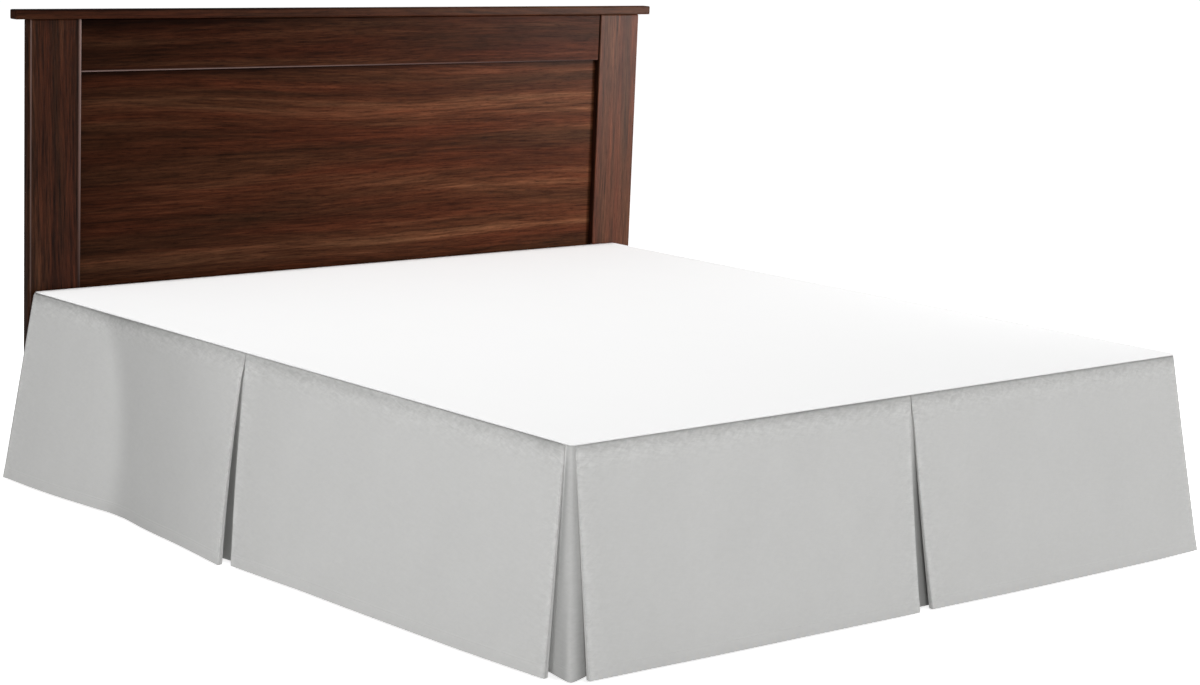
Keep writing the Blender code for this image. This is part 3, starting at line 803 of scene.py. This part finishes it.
def underlay_painted_shade(points, shares):
    """Painted shade from the signed distance to the crease, as a share of the split's half width at that
    height, by the table above. It fades in from the seam, sooner on the side's half, and behind the folds
    it gives way to the painted light of a pocket."""
    share = shares[:, None]
    crease = points[:, [UNDERLAY_COLUMNS]]
    away = np.linalg.norm((points - crease)[..., :2], axis=-1) / mix(SPLIT_AT_SEAM, SPLIT_AT_HEM, share)
    hidden = soft_step(away, *BEHIND_FOLD)
    across = away * np.sign(np.arange(points.shape[1]) - UNDERLAY_COLUMNS)
    place, middle, low = np.array(UNDERLAY_PAINTED_SHADES).T
    half_way, at_hem = np.interp(across, place, middle), np.interp(across, place, low)
    tone = mix(half_way, at_hem, soft_step(share, *LOWER_HALF))
    full_at = mix(SIDE_FULL_AT, FOOT_FULL_AT, soft_step(across, *OVER_CREASE))
    risen = mix(SHADE_AT_SEAM, 1, soft_step(share, 0.0, full_at))
    return 1 - (1 - tone) * risen * (1 - hidden) + POCKET_PAINTED_LIGHT * hidden

# %% Hang the underlays
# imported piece, side; its crease; the panels whose returns its two edges lie behind, and which end of each
UNDERLAYS = {
    "underlay_left": ("corner_underlay_left", -1, LEFT_CREASE, LEFT_FOOT, True, FOOT_LEFT, False),
    "underlay_right": ("corner_underlay_right", 1, RIGHT_CREASE, RIGHT_FOOT, False, FOOT_RIGHT, True),
}
for name, (packed, side, crease, side_panel, side_last, foot_panel, foot_last) in UNDERLAYS.items():
    side_reach = inner_end(side_panel, side_last, UNDERLAY_REACH)[REACH]
    foot_reach = inner_end(foot_panel, foot_last, UNDERLAY_REACH)[REACH]
    points = underlay_surface(side, crease, side_reach, foot_reach, SHARES)
    tone = underlay_painted_shade(points, SHARES)
    hang_sheet(name, packed, points, tone, np.full_like(tone, UNDERLAY_PULL), flip=side > 0)

# %% [markdown]
# ## The deck
#
# The deck is cut as a flat rectangle and turned down over three edges of the foundation. Its grid is
# laid out flat first. Near a foot corner the square rings of the grid are bent into rings of a circle,
# and then the distance past the edge is carried over a small radius and straight down to the seam.
# A sheet under no load is never quite flat, so a slow, shallow swell lies over it. The sheets take the
# places of their imported pieces.

# %% The surface of the deck
DECK_CORNER = 0.012
RIM_RADIUS = 0.003
RIM_DEPTH = 0.0037             # from the deck's top to the lower edge of its rim
RIM_TUCK, TUCK_DEPTH = 0.0012, 0.0015  # how far its lowest edge goes in, and over what depth
DECK_COLUMNS, DECK_ROWS = 97, 103
LEVEL_STEPS, ARC_STEPS = 3, 8
DECK_SWELL, SWELL_FADE = 0.0004, 0.08
WAVE, OTHER_WAVE, WAVE_SHIFT = (5.1, 2.2), (-1.7, 4.3), 0.6    # radians in a metre along X and Y
# painted shade at the foot and painted light at the head, as tones of the sheeting
DECK_FOOT_TONE, DECK_HEAD_TONE = 0.955, 1.12


def bend_over(past):
    """How far out and how far down a point goes that lies past the inner line: level for the flat part
    of the corner, round an arc, then straight down."""
    level = DECK_CORNER - RIM_RADIUS
    angle = np.clip((past - level) / RIM_RADIUS, 0, np.pi / 2)
    out = np.minimum(past, level) + RIM_RADIUS * np.sin(angle)
    down = RIM_RADIUS * (1 - np.cos(angle)) + np.clip(past - level - RIM_RADIUS * np.pi / 2, 0, None)
    return out, down


def deck_surface():
    """The flat grid (a, b), a across from the middle and b from the head, bent over three edges."""
    level, arc = DECK_CORNER - RIM_RADIUS, RIM_RADIUS * np.pi / 2
    flat_rim = level + arc + RIM_DEPTH - RIM_RADIUS
    round_rim = level + arc * np.linspace(0, 1, ARC_STEPS + 1)[1:]
    rim = np.concatenate([np.linspace(0, level, LEVEL_STEPS + 1)[1:], round_rim, [flat_rim]])
    half, length = SIDE_X - DECK_CORNER, DECK_LENGTH - DECK_CORNER
    a = np.concatenate([-half - rim[::-1], np.linspace(-half, half, DECK_COLUMNS), half + rim])
    b = np.concatenate([np.linspace(0, length, DECK_ROWS), length + rim])
    a, b = np.meshgrid(a, b)
    past_a, past_b = np.clip(np.abs(a) - half, 0, None), np.clip(b - length, 0, None)
    ring = np.maximum(past_a, past_b)
    lesser = np.minimum(past_a, past_b) / np.where(ring > 0, ring, 1)
    angle = np.where(past_a >= past_b, lesser * np.pi / 4, np.pi / 2 - lesser * np.pi / 4)
    out, down = bend_over(ring)
    x = np.sign(a) * (np.clip(np.abs(a), 0, half) + out * np.cos(angle))
    y = HEAD_Y - (np.clip(b, 0, length) + out * np.sin(angle))
    inside = soft_step(np.minimum(half - np.abs(a), length - b), 0.0, SWELL_FADE)
    wave, other = (across * x + along * y for across, along in (WAVE, OTHER_WAVE))
    swell = DECK_SWELL * (1 + np.sin(wave) * np.cos(other + WAVE_SHIFT)) * inside
    tuck = RIM_TUCK * soft_step(ring, flat_rim - TUCK_DEPTH, flat_rim)
    x, y = x - np.sign(a) * tuck * np.cos(angle) * (past_a > 0), y + tuck * np.sin(angle) * (past_b > 0)
    return np.stack([x, y, DECK_TOP - down + swell], axis=-1)


def deck_painted_light(points):
    """Painted light towards the head, where the headboard's shadow falls, and a little painted shade at the
    foot: tone goes by the squared share of the way from the foot.
    """
    share = (points[..., 1] - FOOT_Y) / DECK_LENGTH
    return mix(DECK_FOOT_TONE, DECK_HEAD_TONE, share**2)


points = deck_surface()
deck = grid_sheet("deck_sheet", points)
give_values(deck, tone=deck_painted_light(points))
give_thickness(deck, CLOTH, -1.0)
take_place(deck, "deck")

# %% [markdown]
# ## Stitches
#
# The hem is held by a row of small stitches in thread of the cloth's own colour. One stitch is a low,
# tapered bead of thread: it rises from a needle hole, lies over the cloth and sinks into the next
# hole. The row is one mesh: the bead's twelve points are repeated along the surface of the drop, in
# the frame that the surface gives at each place.

# %% A row of stitches along each hem
STITCH_LENGTH, STITCH_PITCH, THREAD = 0.0027, 0.0036, 0.0006
STITCH_MARGIN = 0.004          # from each end of the drop
STITCH_SHARES = 1 - STITCH_ABOVE_HEM / DROP + np.array([-0.001, 0.0, 0.001])
# along, across and out for each point of a bead, as shares of its length and of the thread
BEAD = np.array([
    (x, side, up - drop)
    for x, drop, wide in ((-0.5, 1.0, 0.5), (0.0, 0.0, 1.0), (0.5, 1.0, 0.5))
    for side, up in ((-0.5 * wide, 0.0), (-0.35 * wide, 0.5), (0.35 * wide, 0.5), (0.5 * wide, 0.0))
])
BEAD_FACES = [
    (k + i, k + (i + 1) % 4, k + 4 + (i + 1) % 4, k + 4 + i) for k in (0, 4) for i in range(4)
] + [(3, 2, 1, 0), (8, 9, 10, 11)]


def unit(vectors):
    """Each vector divided by its length."""
    return vectors / np.linalg.norm(vectors, axis=1, keepdims=True)


def stitch_row(name, rows):
    """Beads at even steps along the hem. rows are three lines of points along the middle of the cloth:
    one just above the stitches, theirs, and one just below."""
    above, path, below = rows
    distance = lengths(path, 0)
    at = np.arange(STITCH_MARGIN, distance[-1] - STITCH_MARGIN, STITCH_PITCH)
    middle, along, across = (
        np.column_stack([np.interp(at, distance, values[:, k]) for k in range(3)])
        for values in (path, np.gradient(path, distance, axis=0), above - below)
    )
    along = unit(along)
    out = unit(np.cross(across, along))
    across = np.cross(along, out)
    points = (
        middle[:, None] + out[:, None] * (HEM_CLOTH / 2)
        + along[:, None] * (BEAD[:, 0, None] * STITCH_LENGTH)
        + across[:, None] * (BEAD[:, 1, None] * THREAD)
        + out[:, None] * (BEAD[:, 2, None] * THREAD)
    )
    faces = (np.array(BEAD_FACES)[None] + 12 * np.arange(len(at))[:, None, None]).reshape(-1, 4)
    thing = add_mesh(name, points.reshape(-1, 3), faces.tolist())
    thing.data.shade_smooth()
    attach(thing, "root")
    return thing


stitches = {}
for name, (_, (strip, *hang), _) in DROPS.items():
    stitches[name] = stitch_row(f"stitches_{name}", drop_surface(strip, STITCH_SHARES, *hang))
    print(stitches[name].name, len(stitches[name].data.polygons), "faces")

flat_size(deck)
for name in DROPS:
    drop = pieces[name]
    flat_size(drop)
for name in UNDERLAYS:
    flat_size(pieces[name])

# %% [markdown]
# ## Two shared effects
#
# Cloth and wood each have one effect that several materials use, so each effect is a node group with named
# inputs. The cloth group mixes two sets of long, thin noise, one along the warp and one along the weft,
# with a fine nap, slow clouds, and slanting ripples where the cloth is pulled; the ripples are a bump and
# also painted shading in the colour. The wood group stretches noise along the grain: broad figure, thin
# streaks and short dark pores. A third, small group is a line along one coordinate, for the painted
# highlight on the edge of a board and for the painted shade beside it.

# %% Helpers for groups and noise
def group(name, inputs, outputs):
    """An empty node group with its sockets. inputs are rows of name, kind and value; all outputs are
    numbers."""
    tree = bpy.data.node_groups.new(name, "ShaderNodeTree")
    for label, kind, *value in inputs:
        socket = tree.interface.new_socket(label, in_out="INPUT", socket_type=f"NodeSocket{kind}")
        if value:
            socket.default_value = value[0]
    for label in outputs:
        tree.interface.new_socket(label, in_out="OUTPUT", socket_type="NodeSocketFloat")
    return tree, tree.nodes.new("NodeGroupInput").outputs, tree.nodes.new("NodeGroupOutput").inputs


def vector_node(tree, operation, *values):
    """The same on vectors; an output that is a number counts for all three axes."""
    return math_node(tree, operation, *values, kind="ShaderNodeVectorMath")


def centred(tree, noise, amount):
    """A noise less its mean of one half, times an amount."""
    return math_node(tree, "MULTIPLY", math_node(tree, "SUBTRACT", noise, 0.5), amount)


def mean(tree, one, other):
    """Half of the sum of two outputs."""
    return math_node(tree, "MULTIPLY", math_node(tree, "ADD", one, other), 0.5)


def rescaled(tree, value, low, high, to_low=0.0, to_high=1.0):
    """A value's way from low to high, laid over another range and held inside it."""
    given = {"Value": value, "From_Min": low, "From_Max": high, "To_Min": to_low, "To_Max": to_high}
    return node(tree, "ShaderNodeMapRange", **given).outputs[0]


def mixed(tree, share, one, other):
    """Two colours mixed by a share from 0 to 1."""
    return node(tree, "ShaderNodeMix", data_type="RGBA", Factor=share, A=one, B=other).outputs["Result"]


def stretched_noise(tree, vector, scale, slant=0.0, **settings):
    """Noise on a vector that is first turned by slant in its plane, then multiplied by scale, one
    number for each axis."""
    if slant:
        turn = {"rotation_type": "Z_AXIS", "Angle": slant, "Vector": vector}
        vector = node(tree, "ShaderNodeVectorRotate", **turn).outputs[0]
    vector = vector_node(tree, "MULTIPLY", vector, scale)
    return node(tree, "ShaderNodeTexNoise", Scale=1.0, Vector=vector, **settings).outputs["Fac"]

# %% The cloth group
# how often each noise changes in a metre, along the edge and down the cloth
WARP, WEFT, NAP, CLOUD = (900.0, 70.0, 1.0), (60.0, 800.0, 1.0), (420.0, 420.0, 1.0), (7.0, 5.0, 1.0)
RIPPLES = (((38.0, 170.0, 1.0), 0.2), ((60.0, 120.0, 1.0), -0.5))       # with their slants
NAP_HEIGHT, RIPPLE_HEIGHT = 0.6, 8.0

weave, given, gives = group(
    "woven cloth",
    [("Vector", "Vector"), ("Threads", "Float", 0.5), ("Nap", "Float", 0.5), ("Clouds", "Float", 0.5),
     ("Ripples", "Float", 0.0), ("Pull", "Float", 0.0)],
    ["Shade", "Height"],
)
where = given["Vector"]
nap = stretched_noise(weave, where, NAP, Detail=4.0, Roughness=0.7)
cloud = stretched_noise(weave, where, CLOUD, Detail=4.0, Roughness=0.55)
thread_map = mean(weave, *(stretched_noise(weave, where, scale, Detail=2.0) for scale in (WARP, WEFT)))
ripple = mean(weave, *(
    stretched_noise(weave, where, scale, slant, Detail=2.0, Distortion=0.8) for scale, slant in RIPPLES
))
pulled = math_node(weave, "MULTIPLY", given["Ripples"], given["Pull"])
# the ripples' part of the shade is painted shading of small wrinkles, besides their bump
shade = 1.0
for noise, amount in (
    (thread_map, given["Threads"]), (nap, given["Nap"]), (cloud, given["Clouds"]), (ripple, pulled),
):
    shade = math_node(weave, "ADD", centred(weave, noise, amount), shade)
height = math_node(weave, "MULTIPLY_ADD", nap, NAP_HEIGHT, thread_map)
rippled = math_node(weave, "MULTIPLY", ripple, pulled)
height = math_node(weave, "MULTIPLY_ADD", rippled, RIPPLE_HEIGHT, height)
plug(weave, gives["Shade"], shade)
plug(weave, gives["Height"], height)

# %% The wood group
# how often each noise changes in a metre, along the grain and across it in two directions
BEND, BROAD, BAND = (0.7, 3.0, 3.0), (0.60, 14.0, 14.0), (1.5, 55.0, 40.0)
STREAK, PORE, HUE = (9.0, 190.0, 130.0), (36.0, 520.0, 300.0), (1.1, 18.0, 9.0)
BEND_WIDTH = 0.09              # how far the grain is bent sideways, in metres
BROAD_SHARE, STREAK_HEIGHT = 0.6, 0.4
PORE_RANGE, HUE_RANGE, STREAK_RANGE = (0.56, 0.70), (0.38, 0.62), (0.3, 0.7)

grain, given, gives = group(
    "wood grain", [("Vector", "Vector")], ["Figure", "Streak", "Pores", "Hue", "Height"]
)
bend = centred(grain, stretched_noise(grain, given["Vector"], BEND, Detail=1.0), BEND_WIDTH)
sideways = node(grain, "ShaderNodeCombineXYZ", Y=bend).outputs[0]
wavy = vector_node(grain, "ADD", given["Vector"], sideways)
broad = math_node(
    grain, "MULTIPLY", stretched_noise(grain, wavy, BROAD, Detail=3.0, Roughness=0.55), BROAD_SHARE
)
band = math_node(
    grain, "MULTIPLY", stretched_noise(grain, wavy, BAND, Detail=3.0, Roughness=0.6), 1 - BROAD_SHARE
)
streak = stretched_noise(grain, wavy, STREAK, Detail=4.0, Roughness=0.75)
pores = rescaled(grain, stretched_noise(grain, wavy, PORE, Detail=2.0), *PORE_RANGE)
for label, value in {
    "Figure": math_node(grain, "ADD", broad, band),
    "Streak": streak,
    "Pores": pores,
    "Hue": rescaled(grain, stretched_noise(grain, wavy, HUE, Detail=3.0), *HUE_RANGE),
    "Height": math_node(grain, "SUBTRACT", math_node(grain, "MULTIPLY", streak, STREAK_HEIGHT), pores),
}.items():
    plug(grain, gives[label], value)

# %% The group for lines along a board
# a line for a painted highlight or a painted shade on a board
line, given, gives = group(
    "line on a board",
    [("Coordinate", "Float"), ("Place", "Float"), ("Width", "Float", 0.004),
     ("Along", "Float"), ("From", "Float", -1.0), ("To", "Float", 1.0)],
    ["Mask"],
)
away = math_node(line, "ABSOLUTE", math_node(line, "SUBTRACT", given["Coordinate"], given["Place"]))
mask = math_node(line, "SUBTRACT", 1.0, math_node(line, "DIVIDE", away, given["Width"]))
fade = rescaled(line, given["Along"], given["From"], given["To"])
plug(line, gives["Mask"], math_node(line, "MULTIPLY", math_node(line, "MAXIMUM", mask, 0.0), fade))
print("groups:", [(g.name, len(g.nodes)) for g in (weave, grain, line)])

# %% [markdown]
# ## Cloth finishes
#
# The drops are light grey microfibre, brushed until the weave hardly shows: the shade is even, the
# roughness high, and a little sheen lightens the folds that turn away. The deck is plain white
# sheeting, smoother and with hardly any nap. The foundation under it is covered in off-white ticking.

# %% Make and give the cloth finishes
CLOTH_LEVEL, CLOTH_BUMP = 0.2, 0.0002
GREY, WHITE, OFF_WHITE = (0.55, 0.55, 0.541), (0.85, 0.85, 0.85), (0.78, 0.76, 0.72)


def dress_shader(tree, shader, color, height, strength, distance):
    """Give a shader its colour, and a height as a bump."""
    relief = node(tree, "ShaderNodeBump", Strength=strength, Distance=distance, Height=height)
    plug(tree, shader.inputs["Base Color"], color)
    plug(tree, shader.inputs["Normal"], relief.outputs[0])


def point_value(tree, name):
    """A value that was written for each point of a sheet."""
    return node(tree, "ShaderNodeAttribute", attribute_name=name).outputs["Fac"]


def cloth_finish(name, color, roughness, sheen, threads, nap, clouds, bump, on_uv=True, ripples=0.0):
    """Colour times the cloth group's shade, and its height as a bump. Cloth on a UV map is also multiplied
    by its sheet's tone, the painted light and shade written on its points, and cloth with ripples takes how
    strongly each place is pulled."""
    material, tree, shader = new_material(
        name, Roughness=roughness, Sheen_Weight=sheen, Sheen_Roughness=0.5, Specular_IOR_Level=CLOTH_LEVEL
    )
    if on_uv:
        where = node(tree, "ShaderNodeUVMap", uv_map="cloth").outputs["UV"]
    else:
        where = node(tree, "ShaderNodeTexCoord").outputs["Object"]
    amounts = {"Threads": threads, "Nap": nap, "Clouds": clouds, "Ripples": ripples}
    effect = node(tree, "ShaderNodeGroup", node_tree=weave, Vector=where, **amounts)
    tone = effect.outputs["Shade"]
    if on_uv:
        # the sheet's painted light and shade
        tone = math_node(tree, "MULTIPLY", tone, point_value(tree, "tone"))
    if ripples:
        plug(tree, effect.inputs["Pull"], point_value(tree, "pull"))
    color = vector_node(tree, "MULTIPLY", color, tone)
    dress_shader(tree, shader, color, effect.outputs["Height"], bump, CLOTH_BUMP)
    return material


# colour, roughness and sheen; how strong threads, nap and clouds are; strength of the bump
microfibre = cloth_finish("brushed microfibre", GREY, 0.92, 0.15, 0.07, 0.04, 0.08, 0.5, ripples=0.75)
sheeting = cloth_finish("white sheeting", WHITE, 0.90, 0.05, 0.04, 0.01, 0.01, 0.3)
ticking = cloth_finish("off-white ticking", OFF_WHITE, 0.90, 0.05, 0.12, 0.02, 0.04, 0.6, on_uv=False)
thread = cloth_finish("grey thread", GREY, 0.75, 0.1, 0.10, 0.02, 0.0, 0.3, on_uv=False)

for name, thing in pieces.items():
    thing.data.materials.append(sheeting if name == "deck_sheet" else microfibre)
for thing in stitches.values():
    thing.data.materials.append(thread)

# %% [markdown]
# ## Wood finishes
#
# The headboard is dark walnut with a satin finish. Its boards are cut with the grain along them, so the
# cap, the rails and the panel have it across the bed and the stiles have it upright. Each board comes from
# another part of the tree, so each material shifts the pattern to another place. Painted light makes the
# wood lighter towards the right. Where a board ends, a painted highlight lies along its edge, and painted
# shade lies on the board that is deeper beside it and under the cap: both are lines at a board's known
# edge, and each row of the table below says along which axis its line is measured, where it is, how wide,
# and how it fades.

# %% Wood colours and the lines on a board
WALNUT = ((0.020, 0.0080, 0.0038), (0.050, 0.0150, 0.0066), (0.108, 0.040, 0.019))
SOFTWOOD = ((0.50, 0.33, 0.19), (0.62, 0.44, 0.27), (0.70, 0.53, 0.36))
# colour of a painted highlight along a board's edge
PAINTED_HIGHLIGHT = (0.30, 0.205, 0.185, 1.0)
RED_CAST, GOLD_CAST = (1.06, 0.92, 0.88, 1.0), (0.94, 1.08, 1.08, 1.0)
DARK_AT, MIDDLE_AT, WARM_AT = 0.33, 0.52, 0.70     # where the three colours lie along the figure
# how dark painted shade and pores make the wood at their deepest
DEEPEST_SHADE, DEEPEST_PORE = 0.85, 0.45
WOOD_BUMP, WOOD_BUMP_HEIGHT = 0.25, 0.0003
LEFT_END, RIGHT_END = -0.829, 0.895        # the stiles' inner faces
RAIL_FOOT, RAIL_HEAD, CAP_HEAD = 1.005, 1.137, 1.161
GRAIN_TURN = {"X": (0.0, 0.0, 0.0), "Y": (0.0, 0.0, math.pi / 2), "Z": (0.0, math.pi / 2, 0.0)}


def line_mask(tree, axes, row):
    """The mask of one line: 1 - d/width at the distance d from its place, times a fade from 0 to 1
    along the other axis."""
    axis, place, width, start, end = row
    given = {"Coordinate": axes[axis], "Place": place, "Width": width}
    given |= {"Along": axes["Z" if axis == "X" else "X"], "From": start, "To": end}
    return node(tree, "ShaderNodeGroup", node_tree=line, **given).outputs["Mask"]


def figured_color(tree, figure, colors):
    """The three colours along a ramp, chosen by the figure."""
    dark, middle, warm = ((*color, 1.0) for color in colors)
    base = node(tree, "ShaderNodeValToRGB", Fac=figure)
    first, last = base.color_ramp.elements
    first.position, first.color = DARK_AT, dark
    last.position, last.color = WARM_AT, warm
    base.color_ramp.elements.new(MIDDLE_AT).color = middle
    return base.outputs["Color"]

# %% Make and give the wood finishes
def wood_finish(name, colors, turn, shift, roughness, painted_light_left=1.0, painted_light_right=1.0,
                painted_highlights=(), painted_shade_lines=(), streaks=0.6, level=0.06):
    """Three colours laid over each other by figure and streak and tinted between red and gold, darkened in
    the pores and by the lines of painted shade, and paler on the lines of painted highlight. turn sets the
    axis of the grain: "X", "Y" or "Z"; painted_light_left and painted_light_right are the tones of painted
    light at 1 m on either side."""
    material, tree, shader = new_material(name, Roughness=roughness, Specular_IOR_Level=level)
    where = node(tree, "ShaderNodeTexCoord").outputs["Object"]
    placed = {"vector_type": "POINT", "Location": shift, "Rotation": GRAIN_TURN[turn], "Vector": where}
    placed = node(tree, "ShaderNodeMapping", **placed).outputs[0]
    x, y, z = node(tree, "ShaderNodeSeparateXYZ", Vector=placed).outputs
    along = node(tree, "ShaderNodeCombineXYZ", X=x, Y=z, Z=y).outputs[0]
    effect = node(tree, "ShaderNodeGroup", node_tree=grain, Vector=along).outputs

    lines = rescaled(tree, effect["Streak"], *STREAK_RANGE, 1 - streaks, 1 + streaks)
    tone = math_node(tree, "MULTIPLY_ADD", effect["Pores"], -DEEPEST_PORE, 1.0)
    tone = math_node(tree, "MULTIPLY", lines, tone)
    axes = node(tree, "ShaderNodeSeparateXYZ", Vector=where).outputs
    # painted light: the wood is made lighter towards the right
    tone = math_node(tree, "MULTIPLY", tone, rescaled(tree, axes["X"], -1.0, 1.0, painted_light_left, painted_light_right))
    # lines of painted shade
    for row in painted_shade_lines:
        left = math_node(tree, "MULTIPLY_ADD", line_mask(tree, axes, row), -DEEPEST_SHADE, 1.0)
        tone = math_node(tree, "MULTIPLY", tone, left)

    cast = mixed(tree, effect["Hue"], RED_CAST, GOLD_CAST)
    color = vector_node(tree, "MULTIPLY", figured_color(tree, effect["Figure"], colors), cast)
    color = vector_node(tree, "MULTIPLY", color, tone)
    # lines of painted highlight
    for row in painted_highlights:
        color = mixed(tree, line_mask(tree, axes, row), color, PAINTED_HIGHLIGHT)
    dress_shader(tree, shader, color, effect["Height"], WOOD_BUMP, WOOD_BUMP_HEIGHT)
    return material


# colours, grain's axis, shift of the pattern, roughness, tones of painted light on the left and on the
# right; the row of a line of painted highlight or painted shade is its axis, place, width, and where its
# fade starts (0) and ends (1) along the other axis
finishes = {
    "headboard_cap": wood_finish(
        "walnut cap", WALNUT, "X", (0.3, 0.2, 1.4), 0.35, 0.58, 1.50, level=0.035,
        painted_shade_lines=[("Z", CAP_HEAD, 0.006, 0.8, -0.4)]),
    "headboard_top_rail": wood_finish(
        "walnut rail", WALNUT, "X", (1.7, 0.0, 0.7), 0.30, 0.22, 1.18, level=0.018,
        painted_highlights=[("Z", RAIL_FOOT + 0.001, 0.0035, 1.3, -1.6)],
        painted_shade_lines=[("Z", RAIL_HEAD, 0.045, 1.6, -1.0), ("X", RIGHT_END, 0.006, 0.9, 1.0)]),
    "headboard_panel": wood_finish(
        "walnut panel", WALNUT, "X", (0.0, 0.5, 0.0), 0.30, 0.36, 1.82, level=0.018,
        painted_shade_lines=[("Z", RAIL_FOOT, 0.014, -4.0, 0.0), ("X", RIGHT_END, 0.016, -1.0, 0.4),
                ("X", LEFT_END, 0.008, -1.0, 0.8)]),
    "headboard_bottom_rail": wood_finish(
        "walnut low rail", WALNUT, "X", (2.9, 0.1, 0.2), 0.30, 0.42, 1.80, level=0.018),
    "headboard_stile_left": wood_finish(
        "walnut left stile", WALNUT, "Z", (0.0, 0.3, 1.9), 0.35, 0.62, 0.62, level=0.06, streaks=0.95,
        painted_highlights=[("X", LEFT_END - 0.003, 0.007, 0.40, 1.4), ("X", LEFT_END - 0.142, 0.003, -0.2, 3.0)],
        painted_shade_lines=[("X", LEFT_END - 0.012, 0.004, 0.2, 1.2)]),
    "headboard_stile_right": wood_finish(
        "walnut right stile", WALNUT, "Z", (0.0, 0.9, 3.1), 0.40, 1.90, 1.90, level=0.08,
        painted_shade_lines=[("X", RIGHT_END, 0.003, -1.0, 0.4)]),
    "side_rail": wood_finish("softwood along the bed", SOFTWOOD, "Y", (0.0, 0.4, 0.0), 0.55),
    "cross_rail": wood_finish("softwood across the bed", SOFTWOOD, "X", (0.0, 0.9, 0.0), 0.55),
    "leg": wood_finish("softwood legs", SOFTWOOD, "Z", (0.0, 0.1, 0.6), 0.55),
    "foundation": ticking,
}
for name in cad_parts:
    for start, material in finishes.items():
        if name.startswith(start):
            slots = bpy.data.objects[name].data.materials
            slots.clear()
            slots.append(material)
print(len(bpy.data.materials), "materials")
